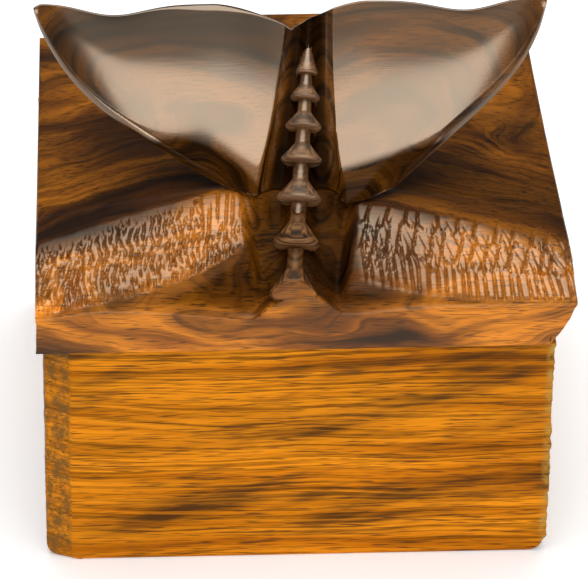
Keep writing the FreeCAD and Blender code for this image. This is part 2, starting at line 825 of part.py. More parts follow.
def draw_spiral_slot(sketch, start):
    """A slot whose middle line moves out by the bolt's throw while it winds back by the cam's turn."""
    half = "(bolt_pin_diameter / 2 + slot_gap)"
    slant = "cos(atan(bolt_throw / bolt_pin_radius * 57.296 / cam_turn))"

    def side(part, sign):
        reach = f"bolt_pin_radius + {part}*bolt_throw + {sign}*{half}/{slant}"
        return polar(reach, f"{start} - {part}*cam_turn")

    def cap(part, sign):
        reach = f"bolt_pin_radius + {part}*bolt_throw"
        return polar(reach, f"{start} - {part}*cam_turn + {sign}*57.296*{half}*1.1/({reach})")

    draw(
        sketch,
        [
            side(0, 1) + (side(0.25, 1),),
            side(0.5, 1) + (side(0.75, 1),),
            side(1, 1) + (cap(1, -1),),
            side(1, -1) + (side(0.75, -1),),
            side(0.5, -1) + (side(0.25, -1),),
            side(0, -1) + (cap(0, 1),),
        ],
    )


def draw_rim_notch(sketch, angle):
    """A notch in the cam's rim that takes the end of the loose pin."""
    half = "(tilt_pin_diameter / 2 + tilt_pin_gap)"
    deep = "(cam_diameter / 2 - tilt_pin_travel)"
    past = "(cam_diameter / 2 + tilt_pin_travel)"
    corners = []
    for reach, across in ((deep, f"-{half}"), (past, f"-{half}"), (past, half), (deep, half)):
        x = f"{reach}*cos({angle}) - {across}*sin({angle})"
        y = f"{SPINDLE_Y} + {reach}*sin({angle}) + {across}*cos({angle})"
        corners.append((x, y))
    draw(sketch, corners)


def make_lock_cam():
    """A wooden disc with two spiral slots for the bolt pins and two rim notches for the loose pin."""
    body = new_body("lock_cam")
    sketch = new_sketch(body, "XY", (0, 0, CAM_BOTTOM))
    draw_circle(sketch, "0", SPINDLE_Y, "cam_diameter / 2")
    pad(body, sketch, "cam_thickness")
    sketch = new_sketch(body, "XY", (0, 0, CAM_BOTTOM))
    half = "(tenon_size / 2 + glue_gap)"
    draw_box(sketch, f"-{half}", f"{SPINDLE_Y} - {half}", half, f"{SPINDLE_Y} + {half}")
    for start in ("0", "180"):
        draw_spiral_slot(sketch, start)
    for angle in ("90", "(90 - cam_turn)"):
        draw_rim_notch(sketch, angle)
    cut(body, sketch, "cam_thickness", reverse=True)
    sketch = new_sketch(body, "XY", (0, 0, CAM_BOTTOM))
    draw_circle(sketch, "0", SPINDLE_Y, "cam_washer_diameter / 2 + tilt_pin_gap")
    cut(body, sketch, "cam_recess", reverse=True)
    return body


def make_cam_screw():
    body = new_body("cam_screw")
    sketch = new_sketch(body, "XY", (0, 0, f"{SCREW_SEAT} - cam_head_height"))
    draw_circle(sketch, "0", SPINDLE_Y, "cam_head_diameter / 2")
    pad(body, sketch, "cam_head_height")
    sketch = new_sketch(body, "XY", (0, 0, SCREW_SEAT))
    draw_circle(sketch, "0", SPINDLE_Y, "cam_screw_diameter / 2")
    pad(body, sketch, "cam_screw_length")
    sketch = new_sketch(body, "XY", (0, 0, f"{SCREW_SEAT} - cam_head_height"))
    draw_box(
        sketch,
        "-cam_head_diameter",
        f"{SPINDLE_Y} - screw_slot / 2",
        "cam_head_diameter",
        f"{SPINDLE_Y} + screw_slot / 2",
    )
    cut(body, sketch, "cam_head_height / 2", reverse=True)
    return body


def make_bolt(label, side):
    """A flat wooden bolt with a bevelled tip and a seat for its pin, drawn back into the tray."""
    body = new_body(label)
    inner = f"{side}*bolt_end_gap"
    tip = f"{side}*({INSIDE_X} + bolt_bite - bolt_throw)"
    shoulder = f"{side}*({INSIDE_X} + bolt_bite - bolt_throw - bolt_chamfer)"
    low, high = (f"({SPINDLE_Y} + {sign}*bolt_width / 2)" for sign in (-1, 1))
    sketch = new_sketch(body, "XY", (0, 0, f"{BOLT_TOP} - bolt_thickness"))
    draw(
        sketch,
        [
            (inner, low),
            (shoulder, low),
            (tip, f"{low} + bolt_chamfer"),
            (tip, f"{high} - bolt_chamfer"),
            (shoulder, high),
            (inner, high),
        ],
    )
    pad(body, sketch, "bolt_thickness")
    sketch = new_sketch(body, "XY", (0, 0, BOLT_TOP))
    draw_circle(sketch, f"{side}*bolt_pin_radius", SPINDLE_Y, "bolt_pin_diameter / 2 + glue_gap")
    cut(body, sketch, "bolt_pin_seat")
    return body


def make_bolt_pin(label, side):
    body = new_body(label)
    sketch = new_sketch(body, "XY", (0, 0, f"{BOLT_TOP} - bolt_pin_seat"))
    draw_circle(sketch, f"{side}*bolt_pin_radius", SPINDLE_Y, "bolt_pin_diameter / 2")
    pad(body, sketch, "bolt_pin_seat + bolt_pin_rise")
    return body


def make_tilt_pin():
    """The loose pin: a short round rod with bevelled ends, lying in its groove behind the cam."""
    body = new_body("tilt_pin")
    radius = "(tilt_pin_diameter / 2)"
    bevel = "(tilt_pin_diameter / 6)"
    end = f"({TILT_PIN_Y} + tilt_pin_length)"
    sketch = new_sketch(body, "XY", (0, 0, TILT_PIN_Z))
    corners = [
        ("0", TILT_PIN_Y),
        (f"{radius} - {bevel}", TILT_PIN_Y),
        (radius, f"{TILT_PIN_Y} + {bevel}"),
        (radius, f"{end} - {bevel}"),
        (f"{radius} - {bevel}", end),
        ("0", end),
    ]
    draw(sketch, corners)
    feature = add(body, "Revolution", sketch)
    feature.ReferenceAxis = (sketch, ["V_Axis"])
    feature.Angle = 360
    return body


def make_pieces():
    return [
        make_base_block(),
        make_base_floor(),
        make_felt_liner(),
        make_screws("floor_screws", FLOOR_SCREWS, "0", "floor_thickness"),
        make_lid_block(),
        make_bolt_tray(),
        make_screws("tray_screws", TRAY_SCREWS, "(base_height - tray_thickness)", "tray_thickness"),
        make_whale_tail(),
        make_tail_spindle(),
        make_ring(
            "thrust_washer",
            f"{SEAM} + seam_gap - thrust_washer_thickness",
            "thrust_washer_thickness",
            "thrust_washer_diameter / 2",
            "spindle_diameter / 2 + thrust_washer_gap",
        ),
        make_lock_cam(),
        make_ring(
            "cam_washer",
            SCREW_SEAT,
            "cam_washer_thickness",
            "cam_washer_diameter / 2",
            "cam_screw_diameter / 2 + glue_gap",
        ),
        make_cam_screw(),
        make_bolt("left_bolt", -1),
        make_bolt_pin("left_bolt_pin", -1),
        make_bolt("right_bolt", 1),
        make_bolt_pin("right_bolt_pin", 1),
        make_tilt_pin(),
    ]


def check(pieces):
    document.recompute()
    for item in document.Objects:
        if "Invalid" in item.State or "Error" in item.State:
            raise RuntimeError(f"{item.Name} ({item.Label}) failed: {item.State}")
    for piece in pieces:
        if piece.Shape.isNull() or not piece.Shape.isValid():
            raise RuntimeError(f"{piece.Label} has no valid shape")


pieces = make_pieces()
check(pieces)
os.makedirs("parts", exist_ok=True)
for piece in pieces:
    piece.Shape.exportStep(os.path.join("parts", piece.Label + ".step"))
    print(f"{piece.Label}: {len(piece.Shape.Solids)} solid, {piece.Shape.Volume / 1000:.2f} cm3")
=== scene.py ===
import json
import math

import bmesh
import bpy
import numpy as np
from mathutils import Matrix, Vector


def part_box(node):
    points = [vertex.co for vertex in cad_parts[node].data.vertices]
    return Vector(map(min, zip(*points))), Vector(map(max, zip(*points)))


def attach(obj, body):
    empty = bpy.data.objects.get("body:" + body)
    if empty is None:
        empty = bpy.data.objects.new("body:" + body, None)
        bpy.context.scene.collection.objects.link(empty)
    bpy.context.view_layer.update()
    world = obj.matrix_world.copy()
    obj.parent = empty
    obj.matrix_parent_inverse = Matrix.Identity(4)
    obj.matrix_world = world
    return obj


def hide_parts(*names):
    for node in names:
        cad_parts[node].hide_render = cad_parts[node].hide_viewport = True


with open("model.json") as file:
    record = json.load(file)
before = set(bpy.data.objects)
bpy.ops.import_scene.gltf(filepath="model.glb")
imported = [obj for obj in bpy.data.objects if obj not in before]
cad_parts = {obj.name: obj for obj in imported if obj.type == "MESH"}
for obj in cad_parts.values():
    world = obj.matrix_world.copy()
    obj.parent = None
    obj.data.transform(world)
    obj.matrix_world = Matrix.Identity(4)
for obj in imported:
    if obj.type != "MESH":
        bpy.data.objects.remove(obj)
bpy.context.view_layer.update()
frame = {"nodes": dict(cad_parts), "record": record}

# A carved puzzle box with a whale tail on its lid. Sizes are millimetres in the frame's axes, with the
# front facing -Y. Every mesh is scaled by MM when it is built. Pairs of values are for left and right.
MM = 0.001

BASE_LOW, BASE_HIGH = (np.array(corner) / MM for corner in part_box("base_block"))
LID_LOW, LID_HIGH = (np.array(corner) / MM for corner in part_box("lid_block"))
FELT_LOW, FELT_HIGH = (np.array(corner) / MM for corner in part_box("felt_liner"))

FRONT, BACK = LID_LOW[1], LID_HIGH[1]
LID_BOTTOM, SEAM = LID_LOW[2], LID_HIGH[2]
LID_EDGE = LID_BOTTOM + 14.5
SEAM_GAP = 0.4

# Camera, fitted to the corners of the block and the lid in the photograph
IMAGE_WIDTH = 588
FOCAL_PIXELS = 5996.5
SENSOR_WIDTH = 36
CAMERA_TARGET = Vector((-0.65, -33.84, 75))
CAMERA_DISTANCE = 1684.9
CAMERA_AZIMUTH = math.radians(3.24)
CAMERA_ELEVATION = math.radians(37.69)
CAMERA_ROLL = math.radians(0.954)

# Lid: X of its sides at the front and at the back, and of the undercut right side
LID_LEFT = (-73.5, -70.6)
LID_RIGHT = (76.5, 71.0)
LID_LOW_RIGHT = 69.5
ARRIS = 0.55
ARRIS_REACH = 0.4

# Waves
STOCK_HALF = 15.5
SEA_REACH = 76.8
LIP_SET_BACK = (11, 4.8)
LIP_HEIGHT = (13.5, 6.5)
LIP_POWER = (2.5, 3.2)
LIP_END = 0.06
CREST_SET_BACK = (31, 23)
CREST_END_SET_BACK = (18, 21)
CREST_HEIGHT = 18.5
CREST_END_HEIGHT = (8, 6)
CREST_POWER = 1.3
EDGE_DIP = (4, 2.5)
EDGE_SINK = (3, 0)
BACK_HEIGHT = 6
BACK_RISE = 8
BACK_HOLLOW = 6
FOAM_END = (0.96, 1.14)
FOAM_NEAR_TAIL = -29

# Furrow between the waves, and the seat of the washer in the stock's flat top
FURROW_FLOOR = 10.0
FURROW_TOP = 16.5
FURROW_DEPTH = 3.5
FURROW_ARRIS = 5.0
FURROW_END = FRONT + 33
SEAT_RADIUS = 9.3
SEAT_DEPTH = 0.65

# Tail
SLOPE = math.radians(37)
SIN, COS = math.sin(SLOPE), math.cos(SLOPE)
LEAN = math.radians(5)
SEAM_FRONT = FRONT + 23
SPINDLE_Y = SEAM_FRONT + 18
STOCK_RISE = 24
HALF_SPAN = 71.7
TAIL_SHIFT = -0.8
CHORD = 59
TIP_WIDTH = 4
LEFT_OVERLAP, RIGHT_OVERLAP = 4.5, 18.3
NOTCH_DEPTH = 8.1
LOBE_DIP = 3.4
TIP_FALL = 1.6
TIP_CURL = 6.2
DISH_DEPTH = 3.4
ROOT_THICKNESS = 10
RIM = 1.5
LEAST_THICKNESS = 2.4

# Channels either side of the knuckles
CHANNEL_MIDDLE = 6.3
CHANNEL_RADIUS = 5.2
CHANNEL_DEPTH = 4
CHANNEL_WALL = 2.4
CHANNEL_START = CHANNEL_DEPTH / math.tan(SLOPE)
CHANNEL_RISE = math.tan(math.radians(7.4))
CHANNEL_FALL = -math.tan(math.radians(6.2))
CHANNEL_ARRIS = 1.6
CHANNEL_DRAW = 0.016
FLUKE_ARRIS = 5.5

# Knuckles
BEAD_START = 2.1
BEAD_PITCH = 11.1
BEAD_TAPER = 0.87
BEAD_RADIUS = 6.6
BEAD_FADE = 8.2
BEAD_SIDES = 64
NECK_RADIUS = 2.3
RIDGE_HEIGHT = 0.8
FIRST_BEAD = -2
LAST_BEAD = 4

# Block
FOOT_LEFT, FOOT_RIGHT = 4.0, 7.0
BARK_WIDTH = 7.0
BARK_SET_IN = 2.5
BARK_DEPTH = 1.1
LEFT_ROUGHNESS, RIGHT_ROUGHNESS = 0.7, 1.2
BLOCK_ARRIS = 0.5
BLOCK_ARRIS_REACH = 0.35

# Studio
WORLD_LEVEL = 0.08
FLOOR_LIFT = 0.3
FLOOR_HALF = 6.0


# Numbers

SCATTER_STEPS = (127.1, 311.7, 74.7)
SCATTER_SPREAD = 43758.5453


def scatter(*keys):
    """A repeatable number from 0 to 1 for each set of keys."""
    spread = np.sin(sum(key * step for key, step in zip(keys, SCATTER_STEPS))) * SCATTER_SPREAD
    return spread - np.floor(spread)


def ease(x):
    """A smooth step from 0 at 0 to 1 at 1."""
    x = np.clip(x, 0, 1)
    return x * x * (3 - 2 * x)


def mix(first, second, share):
    return first + (second - first) * share


def ripple(x, y, seed):
    """Smooth noise from -1 to 1 with a period of about one."""
    left, low = np.floor(x), np.floor(y)
    across, up = ease(x - left), ease(y - low)
    bottom = scatter(left, low, seed) * (1 - across) + scatter(left + 1, low, seed) * across
    top = scatter(left, low + 1, seed) * (1 - across) + scatter(left + 1, low + 1, seed) * across
    return 2 * (bottom * (1 - up) + top * up) - 1


def rough(x, y, seed):
    """Noise of four octaves."""
    return sum(ripple(x * 2**k, y * 2**k, seed + k) / 2**k for k in range(4)) / 2


def dents(x, y, seed):
    """Noise from about 0 to 1, for roughness that is cut into a face."""
    return 0.5 + 0.5 * rough(x, y, seed)


def smooth_min(first, second, reach):
    """The lower of two heights, with the arris between them rounded."""
    near = np.clip(1 - np.abs(first - second) / reach, 0, 1)
    return np.minimum(first, second) - reach * near**2 / 4


# Meshes


def show(thing):
    bpy.context.scene.collection.objects.link(thing)


class Piece:
    """Collects the surfaces of one piece, in millimetres."""

    def __init__(self):
        self.points, self.faces, self.total = [], [], 0

    def add(self, points, faces):
        self.faces += [tuple(index + self.total for index in face) for face in faces]
        self.points.append(np.asarray(points, float))
        self.total += len(points)

    def grid(self, points, ring=False, turned=False):
        """Quads between rows of points. A ring joins the last column to the first."""
        rows, columns = points.shape[:2]
        index = np.arange(rows * columns).reshape(rows, columns)
        if ring:
            index = np.concatenate([index, index[:, :1]], axis=1)
        corners = (index[:-1, :-1], index[:-1, 1:], index[1:, 1:], index[1:, :-1])
        quads = np.stack(corners, axis=-1).reshape(-1, 4)
        if turned:
            quads = quads[:, ::-1]
        self.add(points.reshape(-1, 3), quads.tolist())

    def cap(self, ring, turned=False):
        """Closes a ring of points with one fan."""
        count = len(ring)
        faces = [(k, (k + 1) % count, count) for k in range(count)]
        if turned:
            faces = [face[::-1] for face in faces]
        self.add(np.vstack([ring, ring.mean(axis=0)]), faces)

    def take(self, patch):
        """Adds the faces of a bmesh that is in metres, and frees it."""
        patch.verts.index_update()
        points = [vert.co / MM for vert in patch.verts]
        self.add(points, [[vert.index for vert in face.verts] for face in patch.faces])
        patch.free()

    def patch(self, weld=0.004):
        """A welded bmesh of all that was collected, in metres."""
        mesh = bpy.data.meshes.new("patch")
        mesh.from_pydata((np.concatenate(self.points) * MM).tolist(), [], self.faces)
        patch = bmesh.new()
        patch.from_mesh(mesh)
        bpy.data.meshes.remove(mesh)
        bmesh.ops.remove_doubles(patch, verts=patch.verts, dist=weld * MM)
        return patch

    def build(self, name, body, material, crease=40):
        """Makes the object, smooth but for edges sharper than the crease in degrees."""
        mesh = bpy.data.meshes.new(name)
        patch = self.patch()
        patch.to_mesh(mesh)
        patch.free()
        mesh.polygons.foreach_set("use_smooth", [True] * len(mesh.polygons))
        mesh.set_sharp_from_angle(angle=math.radians(crease))
        mesh.materials.append(material)
        piece = bpy.data.objects.new(name, mesh)
        show(piece)
        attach(piece, body)
        return piece


def note(piece, name, values):
    """Stores one value per point of a piece, for its material."""
    attribute = piece.data.attributes.new(name, "FLOAT", "POINT")
    attribute.data.foreach_set("value", values.astype(np.float32))


def points_of(piece):
    return np.array([point.co for point in piece.data.vertices]) / MM


def cad_patch(name, keep):
    """The faces of a CAD node whose middle passes the test, as a new bmesh in metres."""
    patch = bmesh.new()
    patch.from_mesh(frame["nodes"][name].data)
    bmesh.ops.remove_doubles(patch, verts=patch.verts, dist=0.002 * MM)
    lost = [face for face in patch.faces if not keep(face.calc_center_median() / MM)]
    bmesh.ops.delete(patch, geom=lost, context="FACES")
    return patch


def clip(patch, point, normal, closed=False):
    """Cuts away the side of a bmesh that the normal points to, and may close the cut."""
    parts = patch.verts[:] + patch.edges[:] + patch.faces[:]
    cut = bmesh.ops.bisect_plane(
        patch, geom=parts, plane_co=Vector(point) * MM, plane_no=normal, clear_outer=True
    )
    if closed:
        edges = [part for part in cut["geom_cut"] if isinstance(part, bmesh.types.BMEdge)]
        bmesh.ops.holes_fill(patch, edges=edges)


def clip_to_box(patch, half_x, half_y):
    for side in (-1, 1):
        clip(patch, (side * half_x, 0, 0), (side, 0, 0))
    for side in (-1, 1):
        clip(patch, (0, side * half_y, 0), (0, side, 0))


def box_ring(ring, half_x, half_y):
    """Each point of a ring, moved in to the nearest point of a smaller rectangle."""
    inner = ring.copy()
    inner[:, :2] = np.clip(ring[:, :2], (-half_x, -half_y), (half_x, half_y))
    return inner


# Shader nodes


def feed(tree, made, inputs):
    """Links inputs of a node to sockets, or sets them to values. Colours come without alpha."""
    for name, source in inputs.items():
        socket = made.inputs[name]
        if isinstance(source, bpy.types.NodeSocket):
            tree.links.new(source, socket)
        elif socket.type == "RGBA":
            socket.default_value = (*source, 1)
        else:
            socket.default_value = source


def node(tree, kind, inputs=None, **settings):
    made = tree.nodes.new("ShaderNode" + kind)
    for name, setting in settings.items():
        setattr(made, name, setting)
    feed(tree, made, inputs or {})
    return made


def maths(tree, operation, first, second=0.0):
    return node(tree, "Math", {0: first, 1: second}, operation=operation).outputs[0]


def vector_maths(tree, operation, first, second):
    return node(tree, "VectorMath", {0: first, 1: second}, operation=operation).outputs[0]


def scaled(tree, vector, gain):
    return node(tree, "VectorMath", {0: vector, "Scale": gain}, operation="SCALE").outputs[0]


def fade(tree, source, start, end, first, last):
    """Runs from the first value to the last while the source runs from start to end."""
    return node(tree, "MapRange", {0: source, 1: start, 2: end, 3: first, 4: last}).outputs[0]


def attribute(tree, name):
    return node(tree, "Attribute", attribute_name=name).outputs["Fac"]


def millimetres(tree):
    """The place of each point on its piece."""
    return scaled(tree, node(tree, "TexCoord").outputs["Object"], 1 / MM)


def axis_of(tree, vector, axis):
    return node(tree, "SeparateXYZ", {0: vector}).outputs[axis]


def noise(tree, vector, scale, detail=2.0, roughness=0.5, output=0):
    """Noise of a place in millimetres, where scale gives the cycles per millimetre along each axis."""
    stretched = vector_maths(tree, "MULTIPLY", vector, scale)
    inputs = {"Vector": stretched, "Scale": 1.0, "Detail": detail, "Roughness": roughness}
    return node(tree, "TexNoise", inputs).outputs[output]


def ramp(tree, factor, stops):
    made = node(tree, "ValToRGB", {0: factor})
    elements = made.color_ramp.elements
    while len(elements) < len(stops):
        elements.new(1.0)
    for element, (place, colour) in zip(elements, stops):
        element.position = place
        element.color = (*colour, 1)
    return made.outputs["Color"]


def grey(level):
    return (level, level, level)


def grey_ramp(tree, factor, start, end, first, last):
    return ramp(tree, factor, [(start, grey(first)), (end, grey(last))])


def blend(tree, factor, first, second, mode="MIX"):
    inputs = {0: factor, 6: first, 7: second}
    return node(tree, "Mix", inputs, data_type="RGBA", blend_type=mode).outputs[2]


def bump(tree, height, strength, distance):
    inputs = {"Strength": strength, "Distance": distance * MM, "Height": height}
    return node(tree, "Bump", inputs).outputs[0]


def new_material(name):
    material = bpy.data.materials.new(name)
    material.use_nodes = True
    tree = material.node_tree
    return material, tree, tree.nodes["Principled BSDF"]


# Wood


def ring_place(tree, place, look):
    """The place drifted, so that the grain wanders, and its X, distance from the tree's heart and Y."""
    drift = noise(tree, place, look["warp_scale"], output="Color")
    drift = vector_maths(tree, "SUBTRACT", drift, grey(0.5))
    warped = vector_maths(tree, "ADD", place, vector_maths(tree, "MULTIPLY", drift, look["warp"]))
    offset = vector_maths(tree, "SUBTRACT", warped, (0, *look["heart"]))
    radial = vector_maths(tree, "MULTIPLY", offset, (0, 1, 1))
    radius = node(tree, "VectorMath", {0: radial}, operation="LENGTH").outputs["Value"]
    axes = {0: axis_of(tree, warped, 0), 1: radius, 2: axis_of(tree, warped, 1)}
    return warped, node(tree, "CombineXYZ", axes).outputs[0]


def grain(tree, place, ring, lines, look):
    """The ringed figure with fine dark lines, and bands of darker wood broken up by the lines."""
    colour = ramp(tree, noise(tree, ring, look["figure_scale"], 4.0, 0.55), look["figure"])
    lined = blend(tree, 1.0, colour, grey_ramp(tree, lines, 0.36, 0.52, 0, 1), "MULTIPLY")
    colour = blend(tree, look["line_depth"], colour, lined)
    slant = node(tree, "Mapping", {"Vector": place, "Rotation": look["slant"]}).outputs[0]
    bands = noise(tree, slant, look["band_scale"], 3.0, 0.6)
    start = look["band_start"]
    dark = grey_ramp(tree, bands, start, start + 0.14, 0, 1)
    dark = maths(tree, "MULTIPLY", dark, grey_ramp(tree, lines, 0.42, 0.66, 1, 0.25))
    return blend(tree, maths(tree, "MULTIPLY", dark, look["band_depth"]), colour, look["dark"])


def weather(tree, colour, patches, pores, look):
    """Soft lighter and darker patches, and dark pores."""
    tone = grey_ramp(tree, patches, 0.3, 0.68, look["shade"], 1)
    colour = blend(tree, 1.0, colour, tone, "MULTIPLY")
    pore_mask = grey_ramp(tree, pores, 0.32, 0.45, 1, 0)
    return blend(tree, maths(tree, "MULTIPLY", pore_mask, look["pore_depth"]), colour, look["dark"])


def sea_finish(tree, colour, place, warped, look):
    """Polished, shiny foam with a painted highlight that makes it paler towards the lip, a pale sawn front
    edge, and a dark belt behind the right wave.
    """
    foam = attribute(tree, "foam")
    shine = fade(tree, foam, 0, 1, look["specular"], look["foam_shine"])
    # Painted highlight: the foam's colour is made paler.
    colour = scaled(tree, colour, fade(tree, foam, 0, 1, 1, look["foam_highlight_gain"]))
    low, high, gain = look["pale"]
    colour = scaled(tree, colour, fade(tree, axis_of(tree, place, 2), low, high, gain, 1))
    middle, half, gain = look["belt"]
    away = maths(tree, "ABSOLUTE", maths(tree, "SUBTRACT", axis_of(tree, warped, 1), middle))
    across = fade(tree, away, 0.4 * half, half, 1, 0)
    to_right = fade(tree, axis_of(tree, warped, 0), -10, 25, 0, 1)
    belt = maths(tree, "MULTIPLY", across, to_right)
    return scaled(tree, colour, fade(tree, belt, 0, 1, 1, gain)), shine


def rind(tree, colour, place, start, full, tint):
    """A mottled strip of bark along one side."""
    strip = fade(tree, axis_of(tree, place, 0), start, full, 0, 1)
    mottle = noise(tree, place, (0.45, 0.45, 0.3), 4.0, 0.65)
    mottle = grey_ramp(tree, mottle, 0.4, 0.6, 0.9, 0.1)
    return blend(tree, maths(tree, "MULTIPLY", strip, mottle), colour, tint)


def scraped(tree, colour, gloss, place, look):
    """The knuckles' caps are scraped across, so they are matt and finely striped."""
    turned = attribute(tree, "turned")
    fibres = noise(tree, place, (0.02, 0.25, 1.4), 3.0, 0.6)
    colour = blend(tree, turned, colour, ramp(tree, fibres, look["turned"]))
    return colour, blend(tree, turned, gloss, grey(look["turned_gloss"]))


def shaded_and_dulled(tree, shader, colour, shine, look):
    """Painted shade and dullness: the masked hollows and roots get darkened colour and less specular."""
    dull = attribute(tree, "dull")
    left = fade(tree, dull, 0, 0.6, 1, look["dull"])
    feed(tree, shader, {"Specular IOR Level": maths(tree, "MULTIPLY", left, shine)})
    # Painted shade: the colour is darkened by the gain where the mask is 1.
    return scaled(tree, colour, fade(tree, dull, 0, 1, 1, look["painted_shade_gain"]))


def wood(name, look):
    """Solid wood with growth rings about an axis along X, dark figure, fine lines and pores."""
    material, tree, shader = new_material(name)
    place = millimetres(tree)
    warped, ring = ring_place(tree, place, look)
    lines = noise(tree, ring, look["line_scale"], 3.0, 0.6)
    pores = noise(tree, place, look["pore_scale"], 1.0)
    patches = noise(tree, place, look["patch_scale"], 3.0, 0.55)
    colour = grain(tree, place, ring, lines, look)
    colour = weather(tree, colour, patches, pores, look)
    gloss = grey_ramp(tree, patches, 0.3, 0.7, *look["gloss"])
    shine = look["specular"]
    if "foam_highlight_gain" in look:
        colour, shine = sea_finish(tree, colour, place, warped, look)
    for strip in look.get("rinds", ()):
        colour = rind(tree, colour, place, *strip)
    if "turned" in look:
        colour, gloss = scraped(tree, colour, gloss, place, look)
        colour = shaded_and_dulled(tree, shader, colour, shine, look)
    inputs = {
        "Base Color": colour,
        "Roughness": gloss,
        "Specular IOR Level": look["specular"],
        "Specular Tint": look["tint"],
        "IOR": look["ior"],
        "Normal": bump(tree, blend(tree, 0.5, lines, pores), look["bump"], 0.15),
    }
    feed(tree, shader, inputs)
    return material


# In a look, scales are cycles per millimetre along each axis, the heart is the Y and Z of the ring axis,
# and a rind is the X where it starts, the X where it is full, and its colour.
BLOCK_LOOK = {
    "heart": (-20, -190),
    "warp_scale": (0.010, 0.03, 0.03),
    "warp": (8, 10, 16),
    "figure_scale": (0.006, 0.14, 0.01),
    "figure": [
        (0.30, (0.36, 0.100, 0.003)),
        (0.42, (0.66, 0.195, 0.004)),
        (0.55, (0.92, 0.310, 0.010)),
        (0.70, (0.62, 0.185, 0.004)),
    ],
    "line_scale": (0.012, 0.85, 0.02),
    "line_depth": 0.6,
    "pore_scale": (0.11, 2.4, 2.4),
    "pore_depth": 0.8,
    "patch_scale": (0.012, 0.03, 0.05),
    "slant": (0, math.radians(16), 0),
    "band_scale": (0.014, 0.02, 0.075),
    "band_start": 0.52,
    "band_depth": 0.85,
    "dark": (0.060, 0.026, 0.008),
    "shade": 0.72,
    "rinds": (
        (BASE_LOW[0] + 7.6, BASE_LOW[0] + 6.4, (0.17, 0.085, 0.020)),
        (BASE_HIGH[0] - 3.2, BASE_HIGH[0] - 1.6, (0.42, 0.25, 0.05)),
    ),
    "gloss": (0.55, 0.45),
    "specular": 0.05,
    "tint": (1, 0.8, 0.6),
    "ior": 1.5,
    "bump": 0.5,
}

CARVED_LOOK = {
    "pore_scale": (0.16, 2.0, 2.0),
    "patch_scale": (0.014, 0.022, 0.03),
    "band_scale": (0.014, 0.045, 0.06),
    "turned": [(0.38, (0.012, 0.005, 0.002)), (0.48, (0.09, 0.036, 0.012)), (0.60, (0.24, 0.11, 0.04))],
    "turned_gloss": 0.5,
}

# The pale front edge has the heights between which it fades, and its gain. The belt has its middle Y, half
# width and gain.
LID_LOOK = {
    **CARVED_LOOK,
    "heart": (30, 20),
    "warp_scale": (0.016, 0.022, 0.03),
    "warp": (26, 26, 26),
    "figure_scale": (0.012, 0.10, 0.012),
    "figure": [
        (0.30, (0.020, 0.007, 0.003)),
        (0.42, (0.130, 0.038, 0.004)),
        (0.52, (0.440, 0.140, 0.009)),
        (0.64, (0.210, 0.060, 0.005)),
        (0.72, (0.030, 0.010, 0.004)),
    ],
    "line_scale": (0.016, 1.2, 0.02),
    "line_depth": 0.5,
    "pore_depth": 0.7,
    "slant": (0, 0, math.radians(-18)),
    "band_start": 0.54,
    "band_depth": 0.9,
    "dark": (0.014, 0.006, 0.003),
    "shade": 0.55,
    "pale": (88, 91, 2.2),
    "belt": (-22, 24, 0.42),
    # Painted highlight: the gain that makes the foam paler.
    "foam_highlight_gain": 1.6,
    "foam_shine": 1.0,
    # Painted shade in the hollows: the share of specular kept there, and the gain that darkens the colour.
    "dull": 0.1,
    "painted_shade_gain": 0.3,
    "gloss": (0.36, 0.28),
    "specular": 0.26,
    "tint": (1, 0.78, 0.56),
    "ior": 1.6,
    "bump": 0.35,
}

TAIL_LOOK = {
    **CARVED_LOOK,
    "heart": (30, 60),
    "warp_scale": (0.012, 0.02, 0.03),
    "warp": (14, 11, 11),
    "figure_scale": (0.007, 0.10, 0.010),
    "figure": [
        (0.28, (0.008, 0.003, 0.001)),
        (0.40, (0.075, 0.024, 0.003)),
        (0.52, (0.190, 0.062, 0.006)),
        (0.66, (0.070, 0.022, 0.003)),
        (0.76, (0.012, 0.004, 0.001)),
    ],
    "line_scale": (0.016, 0.8, 0.02),
    "line_depth": 0.8,
    "pore_depth": 0.4,
    "slant": (0, 0, math.radians(-12)),
    "band_start": 0.56,
    "band_depth": 0.7,
    "dark": (0.010, 0.004, 0.002),
    "shade": 0.6,
    # Painted shade on the roots and channels: the share of specular kept there, and the gain that darkens the
    # colour.
    "dull": 0.03,
    "painted_shade_gain": 0.2,
    "gloss": (0.23, 0.18),
    "specular": 1.0,
    "tint": (1, 0.8, 0.6),
    "ior": 1.7,
    "bump": 0.10,
}

INNER_LOOK = {
    **BLOCK_LOOK,
    "rinds": (),
    "figure": [
        (0.30, (0.26, 0.13, 0.05)),
        (0.45, (0.42, 0.23, 0.095)),
        (0.60, (0.52, 0.31, 0.145)),
        (0.75, (0.38, 0.20, 0.08)),
    ],
    "band_depth": 0.25,
    "dark": (0.13, 0.065, 0.03),
    "gloss": (0.62, 0.5),
    "specular": 0.3,
    "bump": 0.3,
}


# Brass and felt

BRASS_STOPS = [(0.3, (0.50, 0.32, 0.11)), (0.6, (0.80, 0.58, 0.25)), (0.8, (0.66, 0.45, 0.17))]
FELT_STOPS = [(0.3, (0.018, 0.040, 0.026)), (0.55, (0.045, 0.085, 0.058)), (0.75, (0.10, 0.15, 0.11))]


def brass():
    material, tree, shader = new_material("brass")
    place = millimetres(tree)
    cloud = noise(tree, place, grey(0.35), 4.0, 0.6)
    inputs = {
        "Base Color": ramp(tree, cloud, BRASS_STOPS),
        "Roughness": grey_ramp(tree, cloud, 0.3, 0.7, 0.42, 0.26),
        "Metallic": 1.0,
        "Normal": bump(tree, noise(tree, place, (6.0, 6.0, 0.4), 2.0), 0.15, 0.05),
    }
    feed(tree, shader, inputs)
    return material


